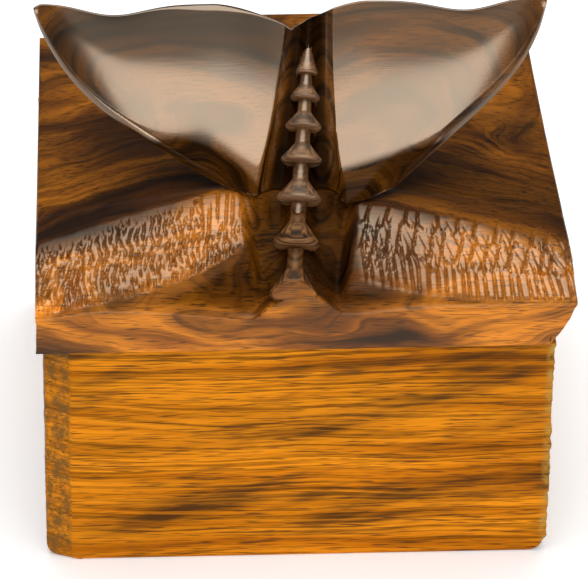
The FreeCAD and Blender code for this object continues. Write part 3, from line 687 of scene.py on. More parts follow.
def felt():
    material, tree, shader = new_material("felt")
    place = millimetres(tree)
    fibre = noise(tree, place, (2.4, 2.4, 2.4), 5.0, 0.75)
    cloud = grey_ramp(tree, noise(tree, place, grey(0.05), 3.0), 0.3, 0.7, 0.75, 1)
    inputs = {
        "Base Color": blend(tree, 1.0, ramp(tree, fibre, FELT_STOPS), cloud, "MULTIPLY"),
        "Roughness": 0.95,
        "Sheen Weight": 0.4,
        "Sheen Roughness": 0.5,
        "Normal": bump(tree, fibre, 0.6, 0.3),
    }
    feed(tree, shader, inputs)
    return material


# Waves


def sea_place(x):
    """How far X is to the right across the stock, and how far out on the sea, both from 0 to 1."""
    to_right = ease((x + STOCK_HALF) / (2 * STOCK_HALF))
    reach = np.clip((np.abs(x) - STOCK_HALF) / (SEA_REACH - STOCK_HALF), 0, 1)
    return to_right, reach


def wave_lines(x):
    """Y and Z of the lip and of the crest, and Z of the lid's front edge and of its back, at each X."""
    to_right, reach = sea_place(x)
    fall = reach**CREST_POWER
    lip = LIP_END + (1 - LIP_END) * (1 - reach) ** mix(*LIP_POWER, to_right)
    sunk = mix(*EDGE_SINK, to_right) * ease((reach - 0.6) / 0.4)
    lip_y = FRONT + mix(*LIP_SET_BACK, to_right) * lip
    lip_z = LID_EDGE + mix(*LIP_HEIGHT, to_right) * lip - sunk
    crest_y = FRONT + mix(*CREST_SET_BACK, to_right) * (1 - fall) + mix(*CREST_END_SET_BACK, to_right) * fall
    crest_z = LID_EDGE + CREST_HEIGHT * (1 - fall) + mix(*CREST_END_HEIGHT, to_right) * fall
    edge_z = LID_EDGE - mix(*EDGE_DIP, to_right) * (1 - reach) ** 3 - sunk
    back_z = LID_EDGE + BACK_HEIGHT + BACK_RISE * (1 - reach)
    return lip_y, lip_z, crest_y, crest_z, edge_z, back_z


def sea_height(x, y):
    """Height of the smooth sea: a hollow face up to the lip, the foam up to the crest, and the back."""
    lip_y, lip_z, crest_y, crest_z, edge_z, back_z = wave_lines(x)
    face = np.clip((y - FRONT) / (lip_y - FRONT), 0, 1)
    foam = np.clip((y - lip_y) / (crest_y - lip_y), 0, 1)
    behind = np.clip((y - crest_y) / (BACK + 2 - crest_y), 0, 1)
    on_face = mix(edge_z, lip_z, face**1.53)
    on_foam = mix(lip_z, crest_z, 1 - (1 - foam) ** 1.32)
    on_back = mix(back_z, crest_z, (1 - behind) ** 2) - BACK_HOLLOW * behind * (1 - behind)
    return np.where(y < lip_y, on_face, np.where(y < crest_y, on_foam, on_back))


def foam_place(x, y):
    """How far down the foam each point is, from 0 at the crest to 1 at the lip, and how much foam it has."""
    lip_y, _, crest_y, *_ = wave_lines(x)
    spread = np.clip((y - lip_y) / (crest_y - lip_y), 0, 1.4)
    end = np.where(x < FOAM_NEAR_TAIL, *FOAM_END) + 0.1 * rough(x / 5, 0 * x, 71)
    beside_stock = ease((np.abs(x) - STOCK_HALF + 1) / 4)
    return 1 - spread, ease(spread / 0.04) * ease((end - spread) / 0.2) * beside_stock


def scoop(points):
    """How far points lie in the hollow under the waves' lips or in the furrow, which get painted shade."""
    x, y, z = points.T
    to_right, reach = sea_place(x)
    lip_y = FRONT + mix(*LIP_SET_BACK, to_right) * (1 - reach) ** LIP_POWER[0]
    hollow = ease((lip_y - y) / 2) * ease((y - FRONT) / 3) * ease((0.6 - reach) / 0.4)
    furrow = ease((STOCK_HALF - np.abs(x)) / 4) * ease((y - FRONT) / 6) * ease((FURROW_END + 2 - y) / 6)
    return np.maximum(0.64 * hollow, furrow) * (z > LID_EDGE - 3)


# Foam


def hatch(x, down, centre, length, pitch, lean, width, seed):
    """A row of gouge cuts side by side, each with its own place, length and slant."""
    phase = (x + lean * (down - centre)) / pitch + 0.3 * ripple(x / 6, down * 2, seed)
    number = np.floor(phase)
    aside = (phase - number - 0.5 + 0.35 * (scatter(number, seed) - 0.5)) * pitch
    middle = centre + 0.6 * length * (scatter(number, seed + 1) - 0.5)
    half = length * (0.35 + 0.3 * scatter(number, seed + 2))
    swing = 1.5 * lean * (scatter(number, seed + 3) - 0.5)
    aside = aside + swing * (down - middle)
    along = (down - middle) / half
    strength = 0.55 + 0.45 * scatter(number, seed + 4)
    return strength * np.exp(-((aside / width) ** 2)) * np.clip(1 - along**2, 0, 1)


def lobe_shift(number, seed):
    return 0.4 * (scatter(number, seed) - 0.5)


def lobes(x, down, start, end, width, lean, seed):
    """A tier of hanging lobes with rounded ends: how much each swells, and the grooves between them."""
    phase = (x + lean * (down - start)) / width + 0.25 * ripple(x / (2.5 * width), down * 3, seed)
    number = np.floor(phase)
    number = np.where(phase < number + lobe_shift(number, seed), number - 1, number)
    number = np.where(phase > number + 1 + lobe_shift(number + 1, seed), number + 1, number)
    low = number + lobe_shift(number, seed)
    high = number + 1 + lobe_shift(number + 1, seed)
    across = 2 * (phase - low) / (high - low) - 1
    foot = end + 0.14 * (scatter(number, seed + 1) - 0.5) - 0.10 * across**2
    top = start + 0.1 * scatter(number, seed + 2)
    swell = np.clip((down - top) / (foot - top), 0, 1) ** 1.2
    inside = (down < foot) & (down > top)
    from_groove = (1 - np.abs(across)) * (high - low) * width / 2
    groove = np.exp(-((from_groove / 0.32) ** 2))
    return inside * swell * (1 - 0.45 * across**2), inside * groove * swell**0.4


# Rows of cuts on the left wave, each with its place down the foam, length, pitch, slant, width and seed
UPPER_ROWS = (
    (0.03, 0.2, 1.5, 4, 0.34, 27),
    (0.12, 0.22, 1.6, -4, 0.34, 7),
    (0.24, 0.24, 1.9, 6, 0.34, 9),
    (0.37, 0.26, 2.1, -5, 0.34, 3),
    (0.51, 0.26, 1.9, 7, 0.32, 11),
)
LOWER_ROWS = (
    (0.66, 0.24, 1.8, 6, 0.32, 13),
    (0.80, 0.22, 1.6, -4, 0.30, 15),
    (0.94, 0.16, 1.2, 2, 0.28, 19),
)
LONG_ROW = (0.36, 0.75, 2.4, 1.5, 0.36, 23)
ARC_ROW = (0.6, 0.9, 3.0, 9, 0.4, 29)
ARC_END = -56

# Tiers of folds on the right wave, each with its start and end down the foam, width, slant and seed
TIERS = ((-0.14, 0.34, 5.0, 4, 31), (0.14, 0.66, 3.8, 6, 37), (0.48, 1.04, 2.3, -3, 43))
FAN_ROW = (0.7, 0.4, 1.7, 9, 0.34, 53)
FAN_END = 29
FINE_ROW = (0.45, 0.5, 2.4, -9, 0.34, 47)


def left_foam(x, down):
    """Feathered foam: rows of short crossing cuts, long ones beside the tail, and a fine fringe at the lip."""
    soft = 0.5 * lobes(x, down, 0.2, 0.6, 8.5, 6, 5)[0] + 0.5 * lobes(x, down, 0.5, 0.97, 7, -5, 8)[0]
    near_tail = ease((x - FOAM_NEAR_TAIL) / 3)
    cuts = 0
    for row in UPPER_ROWS:
        cuts = cuts + (1 - near_tail) * hatch(x, down, *row)
    for row in LOWER_ROWS:
        cuts = cuts + hatch(x, down, *row)
    long_cuts = near_tail * hatch(x, down, *LONG_ROW)
    arcs = ease((ARC_END - x) / 5) * hatch(x, down, *ARC_ROW)
    return soft - 0.8 * cuts - 0.9 * long_cuts - 0.8 * arcs


def right_foam(x, down):
    """Draped foam: three tiers of hanging folds, narrower towards the lip."""
    relief = 0
    for tier in TIERS:
        swell, groove = lobes(x, down, *tier)
        relief = relief + 0.9 * swell - 0.7 * groove
    fan = ease((FAN_END - x) / 5) * hatch(x, down, *FAN_ROW)
    return relief - 0.6 * fan - 0.5 * hatch(x, down, *FINE_ROW)


# Stock and channels


def stock_half_width(rise):
    return STOCK_HALF - 0.029 * rise - 0.01094 * rise**2


def stock_half_depth(rise):
    return 13 - 0.194 * rise - 0.00754 * rise**2


def stock_height(x, y):
    """Height of the tail stock below the seam, where it leans back out of the furrow."""
    rise = np.clip((y - SEAM_FRONT) * math.tan(SLOPE), -STOCK_RISE, 0)
    share = np.clip(np.abs(x) / stock_half_width(rise), 0, 1)
    setback = stock_half_depth(rise) * (1 - np.sqrt(1 - share**2))
    height = SEAM + (y - SEAM_FRONT - setback) * math.tan(SLOPE)
    middle_y = SEAM_FRONT + stock_half_depth(0)
    in_oval = share**2 + ((y - middle_y) / stock_half_depth(0)) ** 2 < 1
    stands = (share < 1) & ((y < middle_y) | in_oval)
    return np.where(stands, np.minimum(height, SEAM), LID_BOTTOM)


def channel_section(x):
    """Height of the two channels' round section over their deepest line."""
    aside = np.abs(x)
    across = np.clip(aside - CHANNEL_MIDDLE, -CHANNEL_RADIUS, CHANNEL_RADIUS)
    past_wall = np.maximum(np.abs(aside - CHANNEL_MIDDLE) - CHANNEL_RADIUS, 0)
    return CHANNEL_RADIUS - np.sqrt(CHANNEL_RADIUS**2 - across**2) + CHANNEL_WALL * past_wall


def channel_over(x, up):
    """Height of the channels over the tail's slope. They are deepest at the seam and draw together above it."""
    above = up - CHANNEL_START
    aside = (x - math.tan(LEAN) * up) * (1 + CHANNEL_DRAW * np.maximum(above, 0))
    return channel_section(aside) - CHANNEL_DEPTH + CHANNEL_RISE * above


def channel_height(x, y):
    """The same channels below the seam, as heights in the frame."""
    spread = 1 - 0.27 * ease((SEAM_FRONT - y) / 10)
    start = channel_section(x * spread) - CHANNEL_DEPTH - CHANNEL_FALL * CHANNEL_START
    return SEAM + (start + (y - SEAM_FRONT) * (SIN + CHANNEL_FALL * COS)) / (COS - CHANNEL_FALL * SIN)


# Lid

WORKS_HALF = (64, 53)
WORKS_TOP = LID_BOTTOM + 9.5
EDGE_STEPS = np.array([0, 0.12, 0.28])


def lid_sides(y):
    """X of the lid's left and right edges at a depth."""
    along = (y - FRONT) / (BACK - FRONT)
    return mix(*LID_LEFT, along), mix(*LID_RIGHT, along)


def lid_grid():
    """X and Y of the points of the lid's top, closest together on the waves and at the edges."""
    waves = np.arange(FRONT + 0.5, FURROW_END, 0.34)
    sea = np.linspace(FURROW_END, BACK - 0.5, 60)
    rows = np.concatenate([FRONT + EDGE_STEPS, waves, sea, BACK - EDGE_STEPS[::-1]])
    across = np.concatenate([[0, 0.001, 0.002], np.linspace(0.0035, 0.9965, 480), [0.998, 0.999, 1]])
    y = rows[:, None] + 0 * across
    return mix(*lid_sides(y), across), y


def soften(z, passes):
    """Averages each height of a grid with its neighbours, in place."""
    for _ in range(passes):
        z[1:-1] = (z[:-2] + 2 * z[1:-1] + z[2:]) / 4
        z[:, 1:-1] = (z[:, :-2] + 2 * z[:, 1:-1] + z[:, 2:]) / 4
    return z


def furrow_height(x, y):
    floor_z = LID_EDGE - FURROW_DEPTH + 2 * FURROW_DEPTH * (y - FRONT) / (FURROW_END - FRONT)
    wall_share = (np.abs(x) - FURROW_FLOOR) / (FURROW_TOP - FURROW_FLOOR)
    return mix(floor_z, SEAM + FURROW_DEPTH, np.clip(wall_share, 0, 2))


def sea_and_stock(x, y):
    """The sea with its furrow and the stock that stands in it. Only the saw cut at the seam is crisp."""
    z = sea_height(x, y)
    z = np.where(y < FURROW_END, smooth_min(z, furrow_height(x, y), FURROW_ARRIS), z)
    hump = LID_EDGE - FURROW_DEPTH + 6.5 * ease((13 - np.abs(x)) / 9) * ease(1 - (y - FRONT) / 9)
    z = soften(np.maximum(np.minimum(z, SEAM - 0.05), hump), 3)
    stock = smooth_min(stock_height(x, y), channel_height(x, y), CHANNEL_ARRIS)
    z = -smooth_min(-z, -stock, FURROW_ARRIS)
    below_seam = ease((SEAM - 1 - z) / 2)
    crisp = soften(z, 2)
    return crisp * (1 - below_seam) + soften(crisp.copy(), 16) * below_seam


def lid_height(x, y):
    """Height of the lid's carved top, with the foam, the washer's seat and the eased edges."""
    z = sea_and_stock(x, y)
    z += 0.35 * rough(x / 16, y / 14, 41) * ease((np.abs(x) - 14) / 8)
    down, shown = foam_place(x, y)
    z += np.where(x < 0, left_foam(x, down), right_foam(x, down)) * shown
    z = np.minimum(z, SEAM)
    in_seat = (x**2 + (y - SPINDLE_Y) ** 2 < SEAT_RADIUS**2) & (z > SEAM - 2)
    z = np.where(in_seat, SEAM - SEAT_DEPTH, z)
    left, right = lid_sides(y)
    edge = np.minimum(np.minimum(y - FRONT, BACK - y), np.minimum(x - left, right - x))
    return z - ARRIS * np.exp(-edge / ARRIS_REACH)


def lid_wall(ring):
    """The lid's sides from the carved edge down to its flat underside, with the undercut live edge at right."""
    near_right = ease((ring[:, 0] - (LID_LOW_RIGHT - 6)) / 8)
    on_right = ease((ring[:, 0] - 69.5) / 1.2)
    on_left = ease((-69.5 - ring[:, 0]) / 1.2)
    rows = []
    for step in np.concatenate([np.linspace(0, 0.96, 11), [1.0]]):
        row = ring.copy()
        row[:, 2] = mix(ring[:, 2], LID_BOTTOM, step)
        row[:, 0] -= np.maximum(ring[:, 0] - LID_LOW_RIGHT, 0) * step**1.5 * near_right
        bite = ease(step / 0.12) * ease((1 - step) / 0.1)
        row[:, 0] -= bite * on_right * dents(ring[:, 1] / 5, row[:, 2] / 4, 51)
        row[:, 0] += bite * on_left * 0.4 * dents(ring[:, 1] / 9, row[:, 2] / 5, 57)
        rows.append(row)
    return np.stack(rows)


def make_lid(material):
    piece = Piece()
    x, y = lid_grid()
    top = np.stack([x, y, lid_height(x, y)], axis=-1)
    piece.grid(top)
    wall = lid_wall(np.concatenate([top[0], top[1:, -1], top[-1, -2::-1], top[-2:0:-1, 0]]))
    piece.grid(wall, ring=True, turned=True)
    piece.grid(np.stack([wall[-1], box_ring(wall[-1], *WORKS_HALF)]), ring=True, turned=True)
    works = cad_patch("lid_block", lambda middle: middle.z < WORKS_TOP)
    clip_to_box(works, *WORKS_HALF)
    piece.take(works)
    add_beads(piece, SEAM, below=True)
    lid = piece.build("carved_lid", "lid", material)
    points = points_of(lid)
    down, shown = foam_place(points[:, 0], points[:, 1])
    beads, caps = on_bead(points)
    # The foam mask also carries the painted highlight, strongest towards the lip.
    note(lid, "foam", shown * ease(down / 0.35) * (points[:, 2] > LID_EDGE - 3.5))
    note(lid, "turned", caps)
    # Painted shade in the hollows under the lips and in the furrow, with less specular there.
    note(lid, "dull", scoop(points) * (1 - beads))
    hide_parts("lid_block")


# Knuckles


def bead_place(step):
    return BEAD_START + BEAD_PITCH * (1 - BEAD_TAPER**step) / (1 - BEAD_TAPER)


def bead_profile():
    """Distances along the ridge and radii of all seven knuckles, from the lowest up."""
    along, radius = [bead_place(FIRST_BEAD) - 6], [NECK_RADIUS]
    for step in range(FIRST_BEAD, LAST_BEAD + 1):
        place = bead_place(step)
        pitch = BEAD_PITCH * BEAD_TAPER**step
        shrink = 1 - ((step - FIRST_BEAD) / BEAD_FADE) ** 2
        wide = BEAD_RADIUS * shrink
        neck = NECK_RADIUS * math.sqrt(shrink)
        for turn in np.linspace(math.pi / 2, 0, 10):
            along.append(place - pitch * (0.04 + 0.14 * math.sin(turn)))
            radius.append(mix(neck, wide, math.cos(turn) ** 0.45))
        flare = 0.48
        if step == LAST_BEAD:
            neck, flare = 0.15, 1.5
        for share in np.linspace(0, 1, 9)[1:]:
            along.append(place + pitch * (flare * share - 0.04))
            radius.append(mix(neck, wide, (1 - share) ** 1.12))
    return np.array(along), np.array(radius)


def bead_axes():
    """A point on the knuckles' axis, and the directions along it, beside it and out of the slope."""
    climb = np.array([0, COS, SIN])
    outward = np.array([0, -SIN, COS])
    sideways = np.array([1.0, 0, 0])
    axis = sideways * math.sin(LEAN) + climb * math.cos(LEAN)
    beside = sideways * math.cos(LEAN) - climb * math.sin(LEAN)
    return np.array([0, SEAM_FRONT, SEAM]) + outward * RIDGE_HEIGHT, axis, beside, outward


def on_bead(points):
    """For each point, 1 if it is on the knuckles, and how scraped it is there: caps fully, necks less."""
    foot, axis, _, _ = bead_axes()
    along = (points - foot) @ axis
    off_axis = np.linalg.norm(points - foot - along[:, None] * axis, axis=1)
    places, radii = bead_profile()
    on_rim = np.abs(off_axis - np.interp(along, places, radii)) < 0.12
    on_rim = on_rim * (along > places[0]) * (along < places[-1]) * (points[:, 1] > FRONT + 0.4)
    return on_rim, on_rim * (0.45 + 0.55 * ease((off_axis - NECK_RADIUS - 0.1) / 0.5))


def add_beads(piece, level, below):
    """The turned knuckles, cut at the seam, and below it also at the lid's front."""
    along, radius = bead_profile()
    along = np.concatenate([along[:1], along, along[-1:]])
    radius = np.concatenate([[0], radius, [0]])
    foot, axis, beside, outward = bead_axes()
    angle = np.linspace(0, 2 * math.pi, BEAD_SIDES, endpoint=False)
    spoke = beside * np.cos(angle)[:, None] + outward * np.sin(angle)[:, None]
    turned = Piece()
    turned.grid(foot + axis * along[:, None, None] + spoke * radius[:, None, None], ring=True)
    patch = turned.patch()
    clip(patch, (0, 0, level), (0, 0, 1 if below else -1), closed=True)
    if below:
        clip(patch, (0, FRONT + 0.05, 0), (0, -1, 0), closed=True)
    bmesh.ops.recalc_face_normals(patch, faces=patch.faces)
    piece.take(patch)


# Tail


def fluke_shares():
    """Shares of the half span, closer together at the middle and the tips."""
    root = np.linspace(0, 0.22, 54)
    half = np.concatenate([root, np.linspace(0.22, 0.94, 70)[1:], np.linspace(0.94, 1, 18)[1:]])
    return np.concatenate([-half[:0:-1], half])


def leading_edge(far, right):
    """How far up the slope the leading edge is: nearly straight, then hooked towards the tip."""
    on_left = (CHORD - TIP_WIDTH + LEFT_OVERLAP) * (0.71 * far + 0.29 * far**8) - LEFT_OVERLAP
    on_right = (CHORD - TIP_WIDTH + RIGHT_OVERLAP) * (0.84 * far + 0.16 * far**14) - RIGHT_OVERLAP
    return mix(on_left, on_right, right)


def trailing_edge(far):
    """How far up the slope the trailing edge is, with the notch in the middle and a dip on each fluke."""
    notch = max(0, 1 - far / 0.3) ** 1.6
    dip = math.exp(-(((far - 0.69) / 0.17) ** 2))
    return CHORD - NOTCH_DEPTH * notch - LOBE_DIP * dip - TIP_FALL * far**12


def root_drop(up, far, right, front):
    """How far the thick root rolls down to its leading edge."""
    on_left = 16 * ease((0.66 - far) / 0.36) * (0.6 + 0.4 * ease((far - 0.1) / 0.3))
    on_right = 20 * np.clip((0.58 - far) / 0.38, 0, 1) * (0.2 + 0.8 * ease((far - 0.24) / 0.2))
    width = max(0.1, mix(on_left, on_right, right))
    return 0.25 * width * np.clip(1 - (up - front) / width, 0, 1) ** 2


def root_shade_and_dull(points):
    """How much painted shade and dullness the roots get, up to a soft edge across each fluke, and the channels.
    """
    x = points[:, 0]
    up = (points[:, 1] - SEAM_FRONT) * COS + (points[:, 2] - SEAM) * SIN
    edge_left = 22 - np.where(x > -33, 0.03 * (x + 33) ** 2, 0.15 * (-33 - x))
    edge_right = 12 + 0.3 * (x - 13.5)
    root = ease((np.where(x < 0, edge_left, edge_right) - up) / 3)
    half_channel = 10.5 / (1 + CHANNEL_DRAW * np.maximum(up - CHANNEL_START, 0))
    channel = ease((half_channel - np.abs(x - math.tan(LEAN) * up)) / 3)
    return np.maximum(0.62 * root, channel)


def trailing_round(back, crest, middle, top, under):
    """The rounded trailing edge, from the end of the top over to the end of the belly."""
    turn = np.linspace(math.pi / 2, 0.5, 9)[1:]
    below = turn[::2][::-1]
    up = [back - crest + crest * np.cos(turn), back - 0.8 + 0.6 * np.cos(below)]
    return up, [mix(middle, top, np.sin(turn)), mix(middle, under, np.sin(below))]


def leading_bevel(front, bevel, low, top):
    """The swollen bevel of the leading edge, from the belly up to the top."""
    step = np.linspace(0, 1, 8)[:-1]
    bulge = step * (1 - step)
    return front + bevel * step - bulge, mix(low, top, step) + bulge


def fluke_loop(x, share):
    """One slice of a fluke in the slope's own axes: distances up the slope and heights over it."""
    far, right = abs(share), ease(share / 0.16 + 0.5)
    front, back = leading_edge(far, right), trailing_edge(far)
    rim = TIP_CURL * far**4.5
    dish = DISH_DEPTH * (0.06 + 3.76 * far * (1 - far))
    belly = dish + ROOT_THICKNESS * (1 - far) ** 1.3
    most = 0.3 * (back - front)
    bevel = min(2.4 + 1.2 * right, most)
    crest = min(0.8 + 1.7 * (1 - right) * math.exp(-(((far - 0.3) / 0.17) ** 2)), most)
    place = (1 - np.cos(np.linspace(0, math.pi, 72))) / 2
    up = front + bevel + (back - crest - front - bevel) * place
    across = (up - front) / (back - front)
    arch = 4 * across * (1 - across)
    top = rim + RIM - dish * arch - root_drop(up, far, right, front + bevel)
    top += (1.8 - 0.6 * right) * ease((0.32 - far) / 0.3) * np.maximum(2 * across - 1, 0) ** 2
    top = smooth_min(top, channel_over(x, up), FLUKE_ARRIS)
    under = np.minimum(rim - RIM - belly * arch, top - LEAST_THICKNESS)
    back_up, back_over = trailing_round(back, crest, min(rim - 0.5, top[-1] - 0.6), top[-1], under[-1])
    front_up, front_over = leading_bevel(front, bevel, min(rim - RIM + 0.3, top[0] - 2.2), top[0])
    loop_up = np.concatenate([up, *back_up, up[::-2], front_up])
    loop_over = np.concatenate([top, *back_over, under[::-2], front_over])
    closing = math.sqrt(max(0.0, 1 - (max(0.0, far - 0.97) / 0.03) ** 2))
    return mix((front + back) / 2, loop_up, closing), mix(rim, loop_over, closing)


def fluke_slice(share):
    x = TAIL_SHIFT + share * HALF_SPAN
    up, over = fluke_loop(x, share)
    y, z = SEAM_FRONT + up * COS - over * SIN, SEAM + up * SIN + over * COS
    return np.stack([x + 0 * up, y, z], axis=-1)


def add_flukes(piece):
    flukes = Piece()
    flukes.grid(np.stack([fluke_slice(share) for share in fluke_shares()]), ring=True)
    patch = flukes.patch()
    clip(patch, (0, 0, SEAM + SEAM_GAP), (0, 0, -1), closed=True)
    bmesh.ops.recalc_face_normals(patch, faces=patch.faces)
    piece.take(patch)


def add_stock(piece):
    """The stock above the seam, cut back just below the channels of the flukes."""
    angle = np.linspace(0, 2 * math.pi, 200, endpoint=False)
    rings = []
    for rise in np.linspace(SEAM_GAP, STOCK_RISE, 48):
        half_y = stock_half_depth(rise)
        x = stock_half_width(rise) * np.cos(angle)
        back_y = rise / math.tan(SLOPE) + half_y + half_y * np.sin(angle)
        up = back_y * COS + rise * SIN
        over = rise * COS - back_y * SIN
        excess = over - channel_over(x, up) + FLUKE_ARRIS / 4 + 0.3
        back_y = back_y + np.maximum(excess, 0) / (SIN + CHANNEL_RISE * COS)
        rings.append(np.stack([x, SEAM_FRONT + back_y, np.full_like(x, SEAM + rise)], axis=-1))
    piece.grid(np.stack(rings), ring=True)
    piece.cap(rings[0], turned=True)
    piece.cap(rings[-1])


def make_tail(material):
    piece = Piece()
    add_flukes(piece)
    add_stock(piece)
    add_beads(piece, SEAM + SEAM_GAP, below=False)
    tail = piece.build("carved_tail", "tail", material, crease=38)
    points = points_of(tail)
    beads, caps = on_bead(points)
    faces_out = np.array([point.normal for point in tail.data.vertices]) @ (0, -SIN, COS) > 0
    note(tail, "turned", caps)
    # Painted shade on the outward faces of the roots and channels, with less specular there.
    note(tail, "dull", root_shade_and_dull(points) * (1 - beads) * faces_out)
    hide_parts("whale_tail")


# Block


def block_outline():
    """Points round the block from the front left arris, closest on the front face and the bark."""
    left, front = BASE_LOW[:2]
    right, back = BASE_HIGH[:2]
    corners = [(left + BARK_WIDTH, front), (right, front), (right, back), (left, back)]
    corners.append((left, front + BARK_SET_IN))
    steps = (0.7, 0.8, 1.4, 0.9, 0.45)
    points = []
    for here, there, step in zip(corners, corners[1:] + corners[:1], steps):
        here, there = np.array(here), np.array(there)
        count = max(2, round(np.linalg.norm(there - here) / step))
        points += [here + (there - here) * k / count for k in range(count)]
    return np.array(points)


def foot_inset(height, radius):
    """How far a side is drawn in by the worn, rounded foot."""
    return radius - math.sqrt(max(0, radius**2 - max(0, radius - height) ** 2))


def block_row(outline, height):
    """The block's outline at a height, with its worn foot, bark, rough sides and eased arrises."""
    (left, front), (right, back), top = BASE_LOW[:2], BASE_HIGH[:2], BASE_HIGH[2]
    low, high = left + foot_inset(height, FOOT_LEFT), right - foot_inset(height, FOOT_RIGHT)
    x = low + (outline[:, 0] - left) / (right - left) * (high - low)
    y = outline[:, 1].copy()
    bite = ease(height / 3) * ease((top - height) / 1.5)
    on_bark = ease((left + BARK_WIDTH + 0.6 - outline[:, 0]) / 1.2) * ease((front + 4 - y) / 2)
    level = np.full_like(y, height)
    y += bite * on_bark * BARK_DEPTH * dents(outline[:, 0] / 2.5, level / 3, 61)
    on_left = ease(left + 1 - outline[:, 0])
    x += bite * on_left * LEFT_ROUGHNESS * dents(outline[:, 1] / 5, level / 4, 63)
    on_right = ease((outline[:, 0] - right + 3.5) / 3.5)
    x -= bite * on_right * RIGHT_ROUGHNESS * dents(outline[:, 1] / 6, level / 1.9, 67)
    eased = BLOCK_ARRIS * math.exp(-min(height, top - height) / BLOCK_ARRIS_REACH)
    x += np.where(outline[:, 0] > right - 0.1, -eased, 0) + np.where(outline[:, 0] < left + 0.1, eased, 0)
    y += np.where(outline[:, 1] < front + 0.1, eased, 0) - np.where(outline[:, 1] > back - 0.1, eased, 0)
    return np.stack([x, y, level], axis=-1)


def make_block(material):
    piece = Piece()
    outline = block_outline()
    top = BASE_HIGH[2]
    sides = np.linspace(1, top - 1.4, 110)
    heights = np.concatenate([[0, 0.15, 0.5], sides, top - np.array([0.9, 0.5, 0.2, 0])])
    wall = np.stack([block_row(outline, height) for height in heights])
    piece.grid(wall, ring=True)
    half_x, half_y = BASE_HIGH[0] - 4.5, BASE_HIGH[1] - 4
    piece.grid(np.stack([wall[-1], box_ring(wall[-1], half_x, half_y)]), ring=True)
    piece.grid(np.stack([box_ring(wall[0], half_x, half_y), wall[0]]), ring=True)
    inside = cad_patch("base_block", lambda at: abs(at.x) < half_x + 4 and abs(at.y) < half_y + 3.5)
    clip_to_box(inside, half_x, half_y)
    piece.take(inside)
    block = piece.build("live_edge_block", "base", material, crease=50)
    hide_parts("base_block")


# Felt

FELT_CLEARANCE = 0.1
FELT_CORNER = 9.4
FELT_FUZZ = 0.12


def felt_rows(half_x, half_y):
    """Rings of points round the sheet, from the middle of its underside to the middle of its top."""
    angle = np.linspace(0, 2 * math.pi, 200, endpoint=False)
    rim_x = (half_x - FELT_CORNER) * np.sign(np.cos(angle)) + FELT_CORNER * np.cos(angle)
    rim_y = (half_y - FELT_CORNER) * np.sign(np.sin(angle)) + FELT_CORNER * np.sin(angle)
    low, high = FELT_LOW[2], FELT_HIGH[2]
    rows = []
    for share, level in ((0.0, low), (1.0, low), (1.0, high - 0.35), (0.995, high - 0.1)):
        rows.append(np.stack([rim_x * share, rim_y * share, np.full_like(angle, level)], axis=-1))
    for share in np.linspace(0.985, 0.0, 26):
        x, y = rim_x * share, rim_y * share
        rows.append(np.stack([x, y, high - FELT_FUZZ + FELT_FUZZ * rough(x / 6, y / 6, 71)], axis=-1))
    return np.stack(rows)


def make_felt(material):
    half_x, half_y = FELT_HIGH[:2] - FELT_CLEARANCE
    piece = Piece()
    piece.grid(felt_rows(half_x, half_y), ring=True)
    sheet = piece.build("felt_sheet", "base", material, crease=60)
    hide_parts("felt_liner")


# Studio


def make_camera():
    lens = bpy.data.cameras.new("camera")
    lens.sensor_fit = "HORIZONTAL"
    lens.sensor_width = SENSOR_WIDTH
    lens.lens = FOCAL_PIXELS * SENSOR_WIDTH / IMAGE_WIDTH
    lens.clip_end = 20
    turn = Matrix.Rotation(-CAMERA_AZIMUTH, 4, "Z")
    turn @= Matrix.Rotation(math.pi / 2 - CAMERA_ELEVATION, 4, "X")
    turn @= Matrix.Rotation(CAMERA_ROLL, 4, "Z")
    away = Matrix.Translation((0, 0, CAMERA_DISTANCE * MM))
    camera = bpy.data.objects.new("camera", lens)
    show(camera)
    camera.matrix_world = Matrix.Translation(CAMERA_TARGET * MM) @ turn @ away
    bpy.context.scene.camera = camera


def softbox(name, place, aim, width, height, watts):
    """A rectangular lamp, in metres."""
    lamp = bpy.data.lights.new(name, "AREA")
    lamp.shape = "RECTANGLE"
    lamp.size = width
    lamp.size_y = height
    lamp.energy = watts
    light = bpy.data.objects.new(name, lamp)
    show(light)
    light.location = place
    light.rotation_euler = (Vector(aim) - Vector(place)).to_track_quat("-Z", "Y").to_euler()


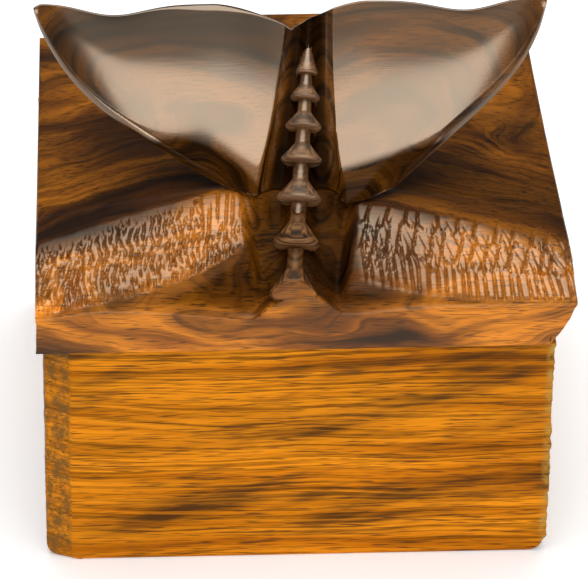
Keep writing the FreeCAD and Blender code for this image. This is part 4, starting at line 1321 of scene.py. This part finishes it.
def floor_finish():
    """Pale grey, lifted to white where it is seen or mirrored. It keeps the shadow."""
    material, tree, shader = new_material("floor")
    place = node(tree, "TexCoord").outputs["Object"]
    cloud = node(tree, "TexNoise", {"Vector": place, "Scale": 3.0}).outputs[0]
    rays = node(tree, "LightPath").outputs
    seen = maths(tree, "MAXIMUM", rays["Is Camera Ray"], rays["Is Transmission Ray"])
    seen = maths(tree, "MAXIMUM", seen, rays["Is Glossy Ray"])
    inputs = {
        "Base Color": grey_ramp(tree, cloud, 0.3, 0.7, 0.90, 0.93),
        "Roughness": 0.8,
        "Emission Color": grey(1),
        "Emission Strength": maths(tree, "MULTIPLY", seen, FLOOR_LIFT),
    }
    feed(tree, shader, inputs)
    return material


def make_floor():
    mesh = bpy.data.meshes.new("floor")
    corners = [(-1, -1), (1, -1), (1, 1), (-1, 1)]
    mesh.from_pydata([(x * FLOOR_HALF, y * FLOOR_HALF, 0) for x, y in corners], [], [(0, 1, 2, 3)])
    mesh.materials.append(floor_finish())
    floor = bpy.data.objects.new("floor", mesh)
    show(floor)


def make_studio():
    """A pale floor under one large overhead softbox with a weak spill in front, and a low front fill."""
    make_floor()
    world = bpy.data.worlds.new("studio")
    bpy.context.scene.world = world
    world.use_nodes = True
    tree = world.node_tree
    feed(tree, tree.nodes["Background"], {"Color": grey(WORLD_LEVEL)})
    softbox("overhead_softbox", (0, 0.14, 1.2), (0, 0.14, 0), 1.08, 1.42, 17.5)
    softbox("front_spill", (0, -0.85, 0.95), (0, 0, 0.1), 1.1, 0.5, 1.0)
    softbox("low_front_fill", (0, -1.8, 0.22), (0, 0, 0.06), 2.4, 0.4, 20)


def finish_works():
    """The wood and brass of the CAD nodes that are shown as they are."""
    finishes = {"inner_wood": wood("inner_wood", INNER_LOOK), "brass": brass()}
    for subpart in frame["record"]["subparts"]:
        finish = finishes.get(subpart["material_slot"])
        if finish:
            materials = frame["nodes"][subpart["node"]].data.materials
            materials.clear()
            materials.append(finish)


def make_scene():
    make_block(wood("block_wood", BLOCK_LOOK))
    make_lid(wood("lid_wood", LID_LOOK))
    make_tail(wood("tail_wood", TAIL_LOOK))
    make_felt(felt())
    finish_works()
    make_studio()
    make_camera()
    bpy.context.scene.view_settings.view_transform = "Standard"


make_scene()
